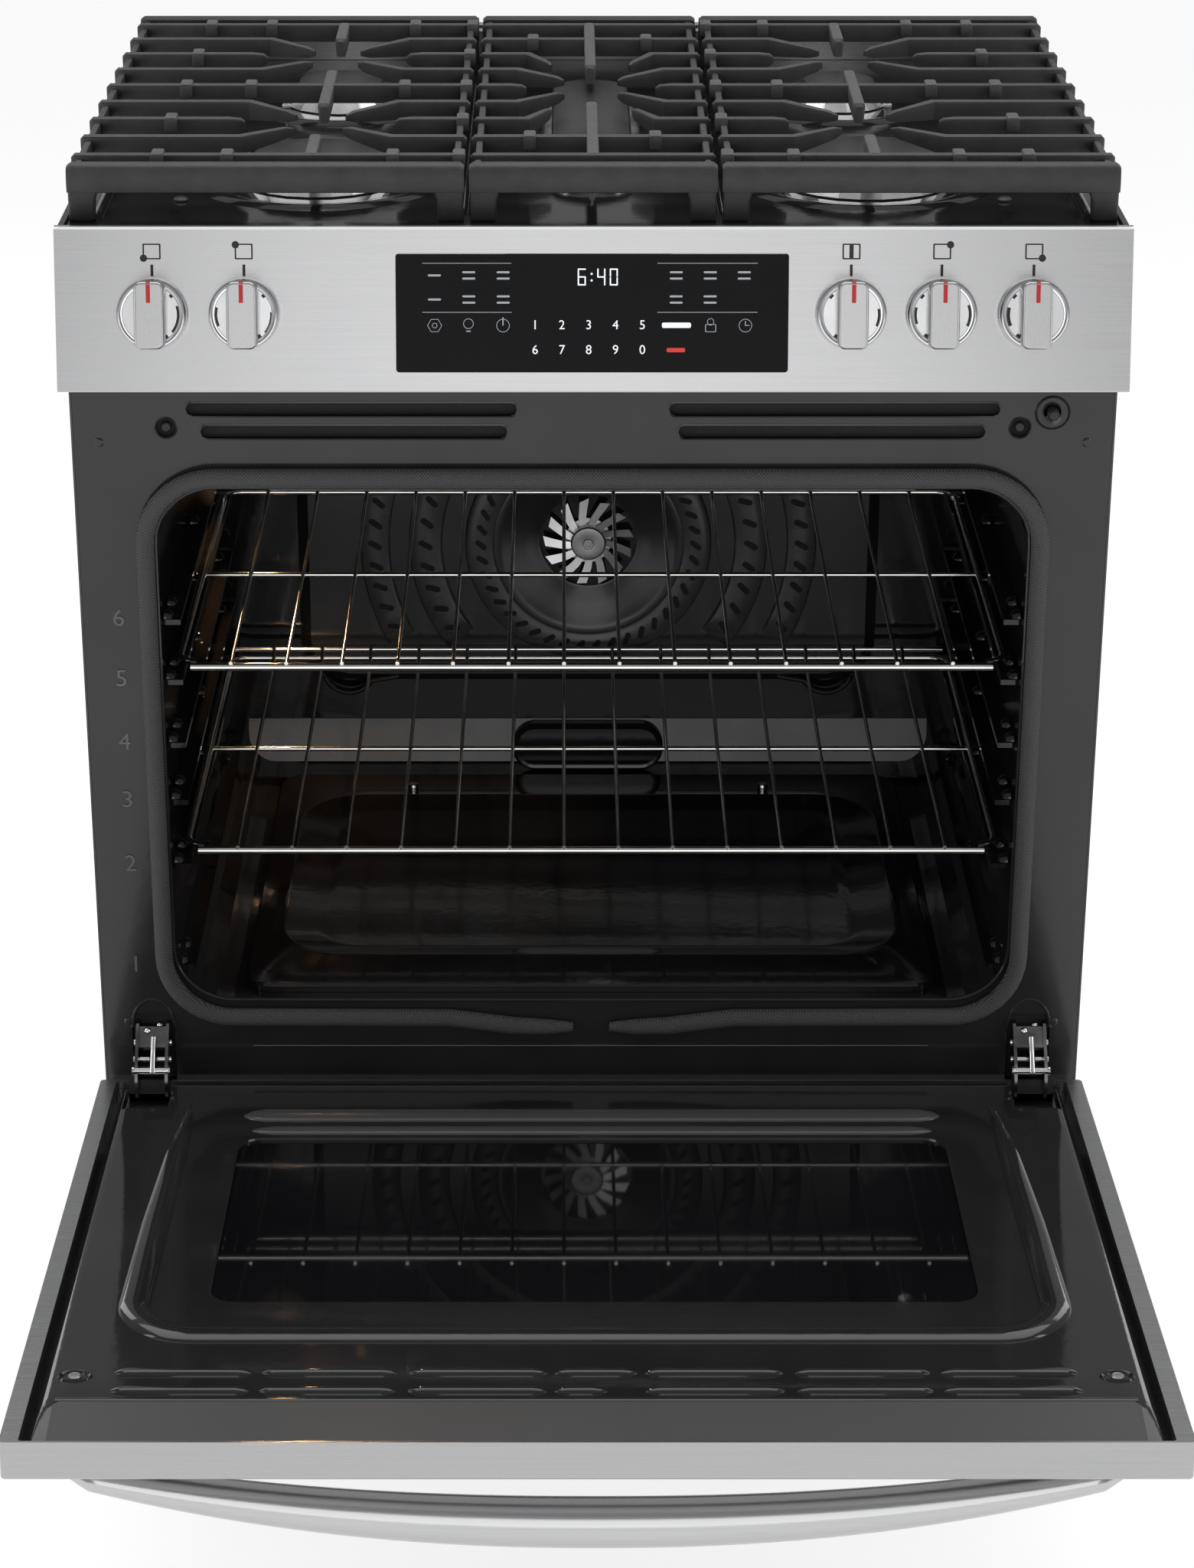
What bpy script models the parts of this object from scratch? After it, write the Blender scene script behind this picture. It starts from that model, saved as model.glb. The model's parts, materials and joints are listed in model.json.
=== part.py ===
"""A freestanding gas range, 30 inches wide, with its oven door standing open.

Metres, +Z up. X runs across the range, -Y faces the cook, and the floor is Z = 0. Everything hangs from an
empty at the foot of the body's front plane, so local Y = 0 is that plane and positive Y runs into the body.
"""

import math

import bmesh
import bpy
from mathutils import Matrix, Vector

# Driving dimensions
WIDTH = 0.756  # across the side panels
PANEL_WIDTH = 0.762  # across the control panel
DEPTH = 0.604  # body, front plane to back panel
FRONT_Y = -0.01312  # the body's front plane in the world, which centres the whole object on the origin
GAP = 0.0003  # clearance between touching pieces
SHEET = 0.0015  # outer sheet metal
FACE_FRONT = (math.pi / 2, 0, 0)  # turns local +Z to face the cook

FOOT_X = 0.356
FOOT_Y = 0.022  # in from the body's front and back planes
FOOT_TOP = 0.034
BASE_TOP = 0.050
DRAWER_TOP = 0.200
FRAME_LOW = 0.2055  # lower edge of the front frame
FRAME_HIGH = 0.7862
FRAME_THICK = 0.0025
SWITCH_X, SWITCH_Z = 0.332, 0.7605  # the door switch
COOKTOP_Z = 0.895  # surface that the grates stand on
GRATE_TOP = 0.936

CAVITY_HALF = 0.3205  # inside half width of the oven
CAVITY_LOW = 0.288
CAVITY_HIGH = 0.704
CAVITY_RADIUS = 0.045
CAVITY_WALL = 0.0015
CAVITY_BACK = 0.455  # inside face of the back wall
RACK_LEVELS = (0.318, 0.403, 0.456, 0.503, 0.554, 0.602)
RACK_HALF = 0.3125
RACK_FRONT = 0.027
RACK_BACK = 0.431
WIRE = 0.0025  # radius of a rack's wires
RAIL = 0.0032  # radius of its cross bars
BAR_DROP = WIRE + 0.0005  # from a rack's level down to the middle of its cross bars
LEDGE_REACH = 0.0145  # how far a rack ledge stands in from the cavity's side
LEDGE_THICK = 0.004

FAN_Z = 0.504
BAFFLE_FRONT = 0.437
BAFFLE_HALF = 0.250
BAFFLE_LOW = 0.374
BAFFLE_HIGH = 0.698

DOOR_HALF = 0.378
DOOR_LENGTH = 0.555
DOOR_OPEN = math.radians(86.5)
HINGE_Y = -0.02475  # the door's pivot
HINGE_Z = 0.224
DOOR_LOW = 0.004  # lower edge, above the pivot with the door shut
DOOR_INSIDE = 0.01175  # highest inner face, from the pivot
DOOR_OUTSIDE = -0.01825
DOOR_RIM = 0.00875  # inner face of the stainless wrap
HINGE_X = 0.339
HINGE_WIDE = 0.029

PANEL_TOP = (-0.010, 0.900)  # (Y, Z) of the control panel's face
PANEL_BOTTOM = (-0.036, 0.787)
PANEL_THICK = 0.003
KNOB_XS = (-0.312, -0.247, 0.182, 0.246, 0.311)
KNOB_NAMES = ("front_left", "rear_left", "centre", "rear_right", "front_right")
KNOB_Z = 0.841
KNOB_RADIUS = 0.0247
KNOB_PUSH = 0.003

GRATE_SPLIT = 0.090  # where the centre grate meets the side grates
GRATE_HALF = 0.375
GRATE_FRONT = 0.023
GRATE_BACK = 0.550
BAR_YS = (0.060, 0.117, 0.173, 0.230, 0.286, 0.343, 0.399, 0.456, 0.512)
BAR_WIDE = 0.009
BAR_TALL = 0.013

BURNERS = {
    "front_left": (-0.203, 0.150, 0.050),
    "front_right": (0.203, 0.150, 0.057),
    "rear_left": (-0.200, 0.400, 0.034),
    "rear_right": (0.200, 0.400, 0.029),
}
CENTRE_BURNER = (0.0, 0.286, 0.030, 0.085)  # X, Y, radius of its ends, half of the straight run
THROAT_RADIUS = 0.018
HEAD_TALL = 0.0130  # a burner's head, from the cooktop up to its cap
CAP_EDGE, CAP_THICK = 0.0035, 0.0068


def clear_scene():
    for obj in list(bpy.data.objects):
        bpy.data.objects.remove(obj, do_unlink=True)


def make_material(name, colour, roughness, metallic=0.0):
    material = bpy.data.materials.new(name)
    material.use_nodes = True
    shader = material.node_tree.nodes["Principled BSDF"]
    shader.inputs["Base Color"].default_value = (*colour, 1.0)
    shader.inputs["Roughness"].default_value = roughness
    shader.inputs["Metallic"].default_value = metallic
    material.diffuse_color = (*colour, 1.0)
    return material


def make_materials():
    return {
        "stainless": make_material("stainless", (0.57, 0.57, 0.58), 0.32, 1.0),
        "chrome": make_material("chrome", (0.72, 0.72, 0.73), 0.12, 1.0),
        "aluminium": make_material("aluminium", (0.60, 0.60, 0.61), 0.30, 1.0),
        "galvanised": make_material("galvanised", (0.42, 0.43, 0.44), 0.45, 1.0),
        "black_enamel": make_material("black_enamel", (0.012, 0.012, 0.013), 0.12),
        "grey_enamel": make_material("grey_enamel", (0.060, 0.060, 0.063), 0.25),
        "cast_iron": make_material("cast_iron", (0.045, 0.045, 0.047), 0.55),
        "gasket_weave": make_material("gasket_weave", (0.050, 0.050, 0.052), 0.80),
        "black_glass": make_material("black_glass", (0.004, 0.004, 0.005), 0.05),
        "window_glass": make_material("window_glass", (0.015, 0.015, 0.016), 0.04),
        "lamp_glass": make_material("lamp_glass", (0.90, 0.72, 0.45), 0.20),
        "black_plastic": make_material("black_plastic", (0.020, 0.020, 0.020), 0.50),
        "brass": make_material("brass", (0.60, 0.42, 0.16), 0.35, 1.0),
    }


def make_empty(name, location, rotation=(0.0, 0.0, 0.0), parent=None):
    empty = bpy.data.objects.new(name, None)
    bpy.context.scene.collection.objects.link(empty)
    empty.parent = parent
    empty.location = location
    empty.rotation_euler = rotation
    return empty


def make_object(name, bm, material, parent, location=(0.0, 0.0, 0.0), rotation=(0.0, 0.0, 0.0)):
    """Turn a bmesh into an object, shaded smooth except at its real edges."""
    bmesh.ops.recalc_face_normals(bm, faces=bm.faces)
    mesh = bpy.data.meshes.new(name)
    bm.to_mesh(mesh)
    bm.free()
    mesh.shade_smooth()
    mesh.set_sharp_from_angle(angle=math.radians(35))
    mesh.materials.append(material)
    obj = bpy.data.objects.new(name, mesh)
    bpy.context.scene.collection.objects.link(obj)
    obj.parent = parent
    obj.location = location
    obj.rotation_euler = rotation
    return obj


def make_tool(name, bm, parent, location=(0.0, 0.0, 0.0), rotation=(0.0, 0.0, 0.0)):
    """A helper shape for a Boolean, which isn't part of the object."""
    tool = make_object(name, bm, None, parent, location, rotation)
    tool.hide_render = True
    tool.display_type = "WIRE"
    return tool


def apply_tool(obj, tool, operation, overlapping=False):
    """Join or cut with a helper shape, whose own bodies may overlap one another."""
    boolean = obj.modifiers.new(tool.name, "BOOLEAN")
    boolean.object = tool
    boolean.operation = operation
    boolean.use_self = overlapping


def place(axis, u, v, w):
    """A point from (u, v) in the plane square to an axis, and w along it."""
    return {"X": (w, u, v), "Y": (u, w, v), "Z": (u, v, w)}[axis]


def rounded(low, high, radius, steps=5):
    """A rectangle's outline with round corners, as (u, v) points."""
    centres = (
        (high[0] - radius, high[1] - radius),
        (low[0] + radius, high[1] - radius),
        (low[0] + radius, low[1] + radius),
        (high[0] - radius, low[1] + radius),
    )
    points = []
    for quarter, (u, v) in enumerate(centres):
        for step in range(steps + 1):
            angle = (quarter + step / steps) * math.pi / 2
            points.append((u + radius * math.cos(angle), v + radius * math.sin(angle)))
    return points


def circle(radius, sides, middle=(0.0, 0.0)):
    turns = [2 * math.pi * side / sides for side in range(sides)]
    return [(middle[0] + radius * math.cos(t), middle[1] + radius * math.sin(t)) for t in turns]


def add_box(bm, low, high):
    size = Vector(high) - Vector(low)
    middle = (Vector(high) + Vector(low)) / 2
    bmesh.ops.create_cube(bm, size=1.0, matrix=Matrix.Translation(middle) @ Matrix.Diagonal((*size, 1.0)))


def add_loft(bm, axis, rings, hollow=False):
    """Skin through rings of (outline, height along the axis). The ends are capped, or joined if hollow."""
    loops = [[bm.verts.new(place(axis, u, v, height)) for u, v in outline] for outline, height in rings]
    pairs = list(zip(loops, loops[1:]))
    if hollow:
        pairs.append((loops[-1], loops[0]))
    for near, far in pairs:
        for i, vert in enumerate(near):
            after = (i + 1) % len(near)
            bm.faces.new((vert, near[after], far[after], far[i]))
    if not hollow:
        bm.faces.new(loops[0])
        bm.faces.new(loops[-1])


def add_prism(bm, axis, outline, low, high):
    add_loft(bm, axis, [(outline, low), (outline, high)])


def add_turned(bm, profile, sides):
    """Spin a profile of (radius, height) points, which starts and ends on the Z axis."""
    verts = [bm.verts.new((radius, 0.0, height)) for radius, height in profile]
    edges = [bm.edges.new(pair) for pair in zip(verts, verts[1:])]
    bmesh.ops.spin(
        bm, geom=verts + edges, cent=(0, 0, 0), axis=(0, 0, 1), angle=2 * math.pi, steps=sides, use_merge=True
    )
    bmesh.ops.remove_doubles(bm, verts=bm.verts, dist=1e-6)


def make_tube(name, points, radius, material, parent, sides_setting=2):
    """A round tube along points, closed at both ends."""
    curve = bpy.data.curves.new(name, "CURVE")
    curve.dimensions = "3D"
    curve.bevel_depth = radius
    curve.bevel_resolution = sides_setting
    curve.use_fill_caps = True
    spline = curve.splines.new("POLY")
    spline.points.add(len(points) - 1)
    for spline_point, point in zip(spline.points, points):
        spline_point.co = (*point, 1.0)
    curve.materials.append(material)
    tube = bpy.data.objects.new(name, curve)
    bpy.context.scene.collection.objects.link(tube)
    tube.parent = parent
    return tube


# ---------------------------------------------------------------------------------------------- body shell


def make_feet(materials, body):
    pad = [(0, 0), (0.017, 0), (0.018, 0.006), (0.007, 0.010)]
    for side, x in (("left", -FOOT_X), ("right", FOOT_X)):
        for end, y in (("front", FOOT_Y), ("rear", DEPTH - FOOT_Y)):
            bm = bmesh.new()
            add_turned(bm, pad + [(0.007, FOOT_TOP), (0, FOOT_TOP)], 12)
            make_object(f"foot_{end}_{side}", bm, materials["black_plastic"], body, (x, y, 0))


def make_base_frame(materials, body):
    """The chassis that the feet screw into, with the drawer's two runners on it."""
    half = WIDTH / 2 - SHEET - GAP
    low = FOOT_TOP + GAP
    plate, wall = low + 0.004, 0.003
    outer, inner, opening = (
        rounded((-half + inset, GAP + inset), (half - inset, DEPTH - SHEET - GAP - inset), 0.002, 1)
        for inset in (0.0, wall, 0.034)
    )
    bm = bmesh.new()
    rim = [(outer, low), (outer, BASE_TOP), (inner, BASE_TOP)]
    add_loft(bm, "Z", rim + [(inner, plate), (opening, plate), (opening, low)], hollow=True)
    frame = make_object("base_frame", bm, materials["galvanised"], body)
    bm = bmesh.new()
    for side in (-1, 1):
        xs = sorted((side * 0.3595, side * 0.3700))
        add_box(bm, (xs[0], 0.020, plate - 0.001), (xs[1], 0.560, 0.110))
    apply_tool(frame, make_tool("runner_shapes", bm, body), "UNION")


def make_side_panels(materials, body):
    for name, side in (("left_side_panel", -1), ("right_side_panel", 1)):
        xs = sorted((side * (WIDTH / 2 - SHEET), side * WIDTH / 2))
        bm = bmesh.new()
        add_box(bm, (xs[0], GAP, 0.030), (xs[1], DEPTH - SHEET - GAP, COOKTOP_Z - 0.004 - GAP))
        make_object(name, bm, materials["grey_enamel"], body)


def make_back_panel(materials, body):
    """The rear cover, with two fields of louvres and the gas inlet's hole."""
    half = WIDTH / 2
    bm = bmesh.new()
    add_box(bm, (-half, DEPTH - SHEET, 0.050), (half, DEPTH, COOKTOP_Z - 0.004 - GAP))
    panel = make_object("back_panel", bm, materials["galvanised"], body)
    bm = bmesh.new()
    for row in range(4):
        for x in (-0.17, 0.17):
            z = 0.760 + row * 0.022
            add_prism(bm, "Y", rounded((x - 0.10, z - 0.004), (x + 0.10, z + 0.004), 0.0035, 1), 0.55, 0.65)
    add_prism(bm, "Y", circle(0.020, 12, (0.300, 0.100)), 0.55, 0.65)
    apply_tool(panel, make_tool("back_panel_holes", bm, body), "DIFFERENCE")


def make_front_frame(materials, body):
    """The enamelled face around the oven, with its cooling slots, hinge slots and bumper holes."""
    half = WIDTH / 2 - SHEET - GAP
    edge = rounded((-half, FRAME_LOW), (half, FRAME_HIGH), 0.004)
    mouth = rounded((-CAVITY_HALF, CAVITY_LOW), (CAVITY_HALF, CAVITY_HIGH), CAVITY_RADIUS)
    bm = bmesh.new()
    add_loft(bm, "Y", [(edge, 0), (edge, FRAME_THICK), (mouth, FRAME_THICK), (mouth, 0)], hollow=True)
    frame = make_object("front_frame", bm, materials["black_enamel"], body)
    bm = bmesh.new()
    for z, near, far in ((0.763, 0.055, 0.294), (0.746, 0.062, 0.284)):
        for low, high in ((-far, -near), (near, far)):
            add_prism(bm, "Y", rounded((low, z - 0.0048), (high, z + 0.0048), 0.0044, 2), -0.01, 0.02)
    for x in (-0.309, 0.309):
        add_prism(bm, "Y", circle(0.0075, 14, (x, 0.749)), -0.01, 0.02)
    add_prism(bm, "Y", circle(0.0060, 12, (SWITCH_X, SWITCH_Z)), -0.01, 0.02)
    for x in (-HINGE_X, HINGE_X):
        half_slot = HINGE_WIDE / 2 + 0.002
        add_box(bm, (x - half_slot, -0.01, 0.2180), (x + half_slot, 0.02, 0.2760))
    apply_tool(frame, make_tool("front_frame_holes", bm, body), "DIFFERENCE")


# ---------------------------------------------------------------------------------------------------- oven


def make_oven_cavity(materials, body):
    """The enamelled box, open to the front, with six ledges down each side for the racks."""
    inside = rounded((-CAVITY_HALF, CAVITY_LOW), (CAVITY_HALF, CAVITY_HIGH), CAVITY_RADIUS)
    half = CAVITY_HALF + CAVITY_WALL
    low = CAVITY_LOW - CAVITY_WALL
    high = CAVITY_HIGH + CAVITY_WALL
    outside = rounded((-half, low), (half, high), CAVITY_RADIUS + CAVITY_WALL)
    front = FRAME_THICK + GAP
    bm = bmesh.new()
    back = CAVITY_BACK + CAVITY_WALL
    add_loft(bm, "Y", [(inside, CAVITY_BACK), (inside, front), (outside, front), (outside, back)])
    cavity = make_object("oven_cavity", bm, materials["black_enamel"], body)
    bm = bmesh.new()
    for level in RACK_LEVELS:
        top = level - BAR_DROP - RAIL - GAP
        for side in (-1, 1):
            xs = sorted((side * (CAVITY_HALF - LEDGE_REACH), side * (CAVITY_HALF + 0.001)))
            add_box(bm, (xs[0], 0.014, top - LEDGE_THICK), (xs[1], 0.445, top))
    apply_tool(cavity, make_tool("ledge_shapes", bm, body), "UNION")
    bm = bmesh.new()
    add_prism(bm, "Y", circle(0.008, 12, (0, FAN_Z)), 0.40, 0.50)
    apply_tool(cavity, make_tool("fan_shaft_hole", bm, body), "DIFFERENCE")


def make_oven_floor(materials, body):
    """The loose floor plate over the bake burner, dished in the middle."""
    low = CAVITY_LOW + GAP
    top = low + 0.006
    edge = rounded((-0.268, 0.012), (0.268, 0.430), 0.020)
    inside = rounded((-0.266, 0.014), (0.266, 0.428), 0.018)
    lip = rounded((-0.220, 0.105), (0.220, 0.400), 0.045)
    dish = rounded((-0.208, 0.117), (0.208, 0.388), 0.038)
    under = [(dish, low), (lip, top - SHEET), (inside, top - SHEET), (inside, low)]
    bm = bmesh.new()
    add_loft(bm, "Z", under + [(edge, low), (edge, top), (lip, top), (dish, low + SHEET)])
    make_object("oven_floor_panel", bm, materials["black_enamel"], body)


def make_gasket(materials, body):
    """The woven door seal: one bead around the oven's mouth whose two ends meet low at the middle."""
    half, low, high, radius = 0.3275, 0.276, 0.713, 0.052
    depth = -0.0062
    corner_steps = 5
    ring = rounded((-half, low), (half, high), radius, corner_steps)
    start = 3 * (corner_steps + 1)  # first point of the lower right corner
    ring = ring[start:] + ring[:start]
    end_dip = 0.008
    right = [(0.013, low - end_dip), (0.060, low - end_dip * 0.9), (0.110, low - 0.001)]
    left = [(-x, z) for x, z in reversed(right)]
    points = [(x, depth, z) for x, z in right + ring + left]
    make_tube("oven_gasket", points, 0.0058, materials["gasket_weave"], body)


def make_baffle(materials, body):
    """The cover over the convection fan: a shallow pan against the back wall with a round hole."""

    def outline(shrink, drop, radius):
        low = (-BAFFLE_HALF + shrink, BAFFLE_LOW + shrink)
        return rounded(low, (BAFFLE_HALF - shrink, BAFFLE_HIGH - drop), radius)

    front, edge = outline(0.010, 0.004, 0.030), outline(0.0, 0.0, 0.034)
    rim, well = outline(0.003, 0.003, 0.032), outline(0.013, 0.007, 0.028)
    back = CAVITY_BACK - GAP
    bm = bmesh.new()
    add_loft(bm, "Y", [(front, BAFFLE_FRONT), (edge, back), (rim, back), (well, BAFFLE_FRONT + 0.002)])
    baffle = make_object("convection_baffle", bm, materials["black_enamel"], body)
    bm = bmesh.new()
    add_prism(bm, "Y", circle(0.0415, 32, (0, FAN_Z)), 0.40, 0.50)
    apply_tool(baffle, make_tool("baffle_hole", bm, body), "DIFFERENCE")


def make_fan(materials, body):
    """The convection wheel, whose shaft runs through the back wall into its motor."""
    axle = make_empty("fan_axle", (0, 0, FAN_Z), parent=body)
    hub_front, blade_front, blade_back, shaft_end = -0.4400, -0.4415, -0.4515, -0.470
    shaft = [(0, shaft_end), (0.004, shaft_end), (0.004, blade_back)]
    hub = [(0.015, blade_back), (0.015, hub_front), (0, hub_front)]
    bm = bmesh.new()
    add_turned(bm, shaft + hub, 16)
    wheel = make_object("fan_wheel", bm, materials["aluminium"], axle, rotation=FACE_FRONT)
    bm = bmesh.new()
    disc_front = blade_back + 0.0018
    add_turned(bm, [(0, blade_back), (0.020, blade_back), (0.020, disc_front), (0, disc_front)], 16)
    blades = 12
    for blade in range(blades):
        turn = Matrix.Rotation(2 * math.pi * blade / blades, 4, "Z")
        piece = bmesh.new()
        add_box(piece, (0.0120, -0.0012, blade_back), (0.0385, 0.0012, blade_front))
        bmesh.ops.transform(piece, matrix=turn @ Matrix.Rotation(0.10, 4, "Z"), verts=piece.verts)
        scratch = bpy.data.meshes.new("blade")
        piece.to_mesh(scratch)
        piece.free()
        bm.from_mesh(scratch)
        bpy.data.meshes.remove(scratch)
    blade_shapes = make_tool("blade_shapes", bm, axle, rotation=FACE_FRONT)
    apply_tool(wheel, blade_shapes, "UNION", overlapping=True)

    bm = bmesh.new()
    front = -(CAVITY_BACK + CAVITY_WALL + GAP)
    shell = [(0, -0.535), (0.020, -0.535), (0.036, -0.528), (0.036, -0.475), (0.045, -0.472), (0.045, front)]
    bore = [(0.0048, front), (0.0048, -0.474), (0, -0.474)]
    add_turned(bm, shell + bore, 20)
    make_object("fan_motor", bm, materials["galvanised"], body, (0, 0, FAN_Z), FACE_FRONT)


def make_oven_burners(materials, body):
    bake = [(-0.10, 0.430, 0.262), (-0.10, 0.090, 0.262), (-0.07, 0.060, 0.262)]
    bake += [(0.07, 0.060, 0.262), (0.10, 0.090, 0.262), (0.10, 0.430, 0.262)]
    make_tube("bake_burner", bake, 0.009, materials["galvanised"], body)
    z = 0.680
    broil = [(-0.270, CAVITY_BACK - GAP, z), (-0.270, 0.110, z), (-0.240, 0.080, z)]
    broil += [(0.240, 0.080, z), (0.270, 0.110, z), (0.270, CAVITY_BACK - GAP, z)]
    make_tube("broil_burner", broil, 0.006, materials["galvanised"], body)


def make_oven_fittings(materials, body):
    """The lamp behind its round lens, and the thin probe that reads the oven's temperature."""
    back = CAVITY_BACK - GAP
    bm = bmesh.new()
    add_turned(bm, [(0, 0), (0.024, 0), (0.024, 0.008), (0.020, 0.014), (0.010, 0.017), (0, 0.017)], 20)
    make_object("oven_lamp", bm, materials["lamp_glass"], body, (-0.282, back, 0.640), FACE_FRONT)
    bm = bmesh.new()
    add_turned(bm, [(0, 0), (0.009, 0), (0.009, 0.002), (0.0028, 0.004), (0.0028, 0.085), (0, 0.086)], 10)
    make_object("temperature_probe", bm, materials["chrome"], body, (0.2955, back, 0.630), FACE_FRONT)


def make_racks(materials, body):
    """Two wire shelves: cross bars underneath, and wires from front to back that stand on them."""
    wires = 16
    for name, level in (("rack_lower", RACK_LEVELS[1]), ("rack_upper", RACK_LEVELS[4])):
        bar_z = level - BAR_DROP
        bm = bmesh.new()
        for y in (RACK_FRONT + RAIL, 0.229, RACK_BACK - RAIL):
            add_prism(bm, "X", circle(RAIL, 6, (y, bar_z)), -RACK_HALF + 0.001, RACK_HALF - 0.001)
        rack = make_object(name, bm, materials["chrome"], body)
        bm = bmesh.new()
        for wire in range(wires):
            x = (RACK_HALF - WIRE) * (2 * wire / (wires - 1) - 1)
            outline = circle(WIRE, 5, (x, level + WIRE * 0.6))
            add_prism(bm, "Y", outline, RACK_FRONT + 0.0015, RACK_BACK - 0.0005)
        apply_tool(rack, make_tool(name + "_wires", bm, body), "UNION", overlapping=True)


# ---------------------------------------------------------------------------------------------------- door


def make_door(materials, body):
    """The oven door about its pivot. It is drawn shut, standing up, and its hinge empty lays it open."""
    hinge = make_empty("door_hinge", (0, HINGE_Y, HINGE_Z), (DOOR_OPEN, 0, 0), body)
    make_door_skin(materials, hinge)
    make_door_liner(materials, hinge)
    make_door_glass(materials, hinge)
    make_door_handle(materials, hinge)


def hinge_notches(hinge, name):
    """Clearance for the two hinge arms in the door's lower edge."""
    bm = bmesh.new()
    for x in (-HINGE_X, HINGE_X):
        half = HINGE_WIDE / 2 + 0.003
        add_box(bm, (x - half, DOOR_OUTSIDE + 0.003, -0.020), (x + half, 0.05, DOOR_LOW + 0.052))
    return make_tool(name, bm, hinge)


def make_door_skin(materials, hinge):
    """The stainless outer pan, whose edges wrap round the sides and the top."""
    high = DOOR_LOW + DOOR_LENGTH
    outer = rounded((-DOOR_HALF, DOOR_LOW), (DOOR_HALF, high), 0.003, 2)
    soft = rounded((-DOOR_HALF + 0.001, DOOR_LOW + 0.001), (DOOR_HALF - 0.001, high - 0.001), 0.002, 2)
    pocket = rounded((-0.3658, DOOR_LOW + 0.002), (0.3658, high - 0.002), 0.002, 2)
    face, floor = DOOR_OUTSIDE, DOOR_OUTSIDE + SHEET
    bm = bmesh.new()
    rings = [(soft, face), (outer, face + 0.001), (outer, DOOR_RIM), (pocket, DOOR_RIM), (pocket, floor)]
    add_loft(bm, "Y", rings)
    skin = make_object("door_skin", bm, materials["stainless"], hinge)
    apply_tool(skin, hinge_notches(hinge, "skin_notches"), "DIFFERENCE")


def make_door_liner(materials, hinge):
    """The enamelled inner panel: flat, with a raised bead round the window and a bevelled top edge."""
    low, high = DOOR_LOW + 0.003, DOOR_LOW + DOOR_LENGTH - 0.003
    back, shoulder, plane = -0.004, 0.003, 0.0085
    sheet = 0.002

    def outline(half, start, end, shrink):
        return rounded((-half + shrink, low + start + shrink), (half - shrink, high - end - shrink), 0.004, 3)

    edge, edge_inside = (outline(0.3620, 0.0, 0.0, shrink) for shrink in (0.0, sheet))
    flat, flat_inside = (outline(0.3560, 0.004, 0.050, shrink) for shrink in (0.0, sheet / 2))
    window = rounded((-0.262, 0.088), (0.262, 0.368), 0.018, 3)
    surround = rounded((-0.264, 0.086), (0.264, 0.370), 0.020, 3)
    bm = bmesh.new()
    rings = [(edge, back), (edge, shoulder), (flat, plane), (window, plane), (window, back), (surround, back)]
    rings += [(surround, plane - sheet), (flat_inside, plane - sheet), (edge_inside, shoulder - sheet / 2)]
    add_loft(bm, "Y", rings + [(edge_inside, back)], hollow=True)
    liner = make_object("door_liner", bm, materials["grey_enamel"], hinge)
    bm = bmesh.new()
    foot, brow, crest, inner = (
        rounded((-0.322 + inset, 0.060 + inset), (0.322 - inset, 0.420 - inset), 0.045 - inset, 4)
        for inset in (0.0, 0.006, 0.010, 0.016)
    )
    rings = [(foot, plane - sheet / 2), (foot, plane), (brow, DOOR_INSIDE)]
    rings += [(crest, DOOR_INSIDE), (inner, plane), (inner, plane - sheet / 2)]
    add_loft(bm, "Y", rings, hollow=True)
    apply_tool(liner, make_tool("window_bead", bm, hinge), "UNION")
    apply_tool(liner, hinge_notches(hinge, "liner_notches"), "DIFFERENCE")


def make_door_glass(materials, hinge):
    bm = bmesh.new()
    pane = rounded((-0.262 + GAP, 0.088 + GAP), (0.262 - GAP, 0.368 - GAP), 0.018, 3)
    add_prism(bm, "Y", pane, -0.001, 0.006)
    make_object("door_inner_glass", bm, materials["window_glass"], hinge)


def make_door_handle(materials, hinge):
    """A bar that bows out from the door's face between its two ends."""
    reach_x, height = 0.345, 0.530
    root = DOOR_OUTSIDE - GAP
    bow = 0.036
    steps = 24
    bm = bmesh.new()
    sections = []
    for step in range(steps + 1):
        along = 2 * step / steps - 1
        x = reach_x * along
        out = bow * (1 - abs(along) ** 2.2)
        deep = 0.0085 + 0.0050 * (1 - along**2)
        tall = 0.0120 + 0.0035 * (1 - along**2)
        middle = (root - 0.0085 - out, height)
        oval_section = [(middle[0] + deep * u, middle[1] + tall * v) for u, v in circle(1.0, 10)]
        sections.append([(x, y, z) for y, z in oval_section])
    loops = [[bm.verts.new(point) for point in section] for section in sections]
    for near, far in zip(loops, loops[1:]):
        for i, vert in enumerate(near):
            after = (i + 1) % len(near)
            bm.faces.new((vert, near[after], far[after], far[i]))
    bm.faces.new(loops[0])
    bm.faces.new(loops[-1])
    make_object("door_handle", bm, materials["stainless"], hinge)


def make_hinge_arms(materials, body):
    """The steel arms that hook into the body and reach out to the door's pivot."""
    outline = [
        (HINGE_Y - 0.007, HINGE_Z - 0.004),
        (HINGE_Y - 0.002, HINGE_Z - 0.009),
        (HINGE_Y + 0.012, HINGE_Z - 0.006),
        (0.0160, 0.236),
        (0.0500, 0.236),
        (0.0500, 0.262),
        (0.0080, 0.270),
        (-0.0060, 0.268),
        (-0.0240, 0.246),
        (HINGE_Y - 0.007, HINGE_Z + 0.008),
    ]
    for name, x in (("hinge_arm_left", -HINGE_X), ("hinge_arm_right", HINGE_X)):
        bm = bmesh.new()
        add_prism(bm, "X", outline, x - HINGE_WIDE / 2, x + HINGE_WIDE / 2)
        arm = make_object(name, bm, materials["galvanised"], body)
        bm = bmesh.new()
        add_box(bm, (x - 0.0085, HINGE_Y - 0.02, HINGE_Z + 0.006), (x + 0.0085, 0.012, 0.30))
        apply_tool(arm, make_tool(name + "_channel", bm, body), "DIFFERENCE")


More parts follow.
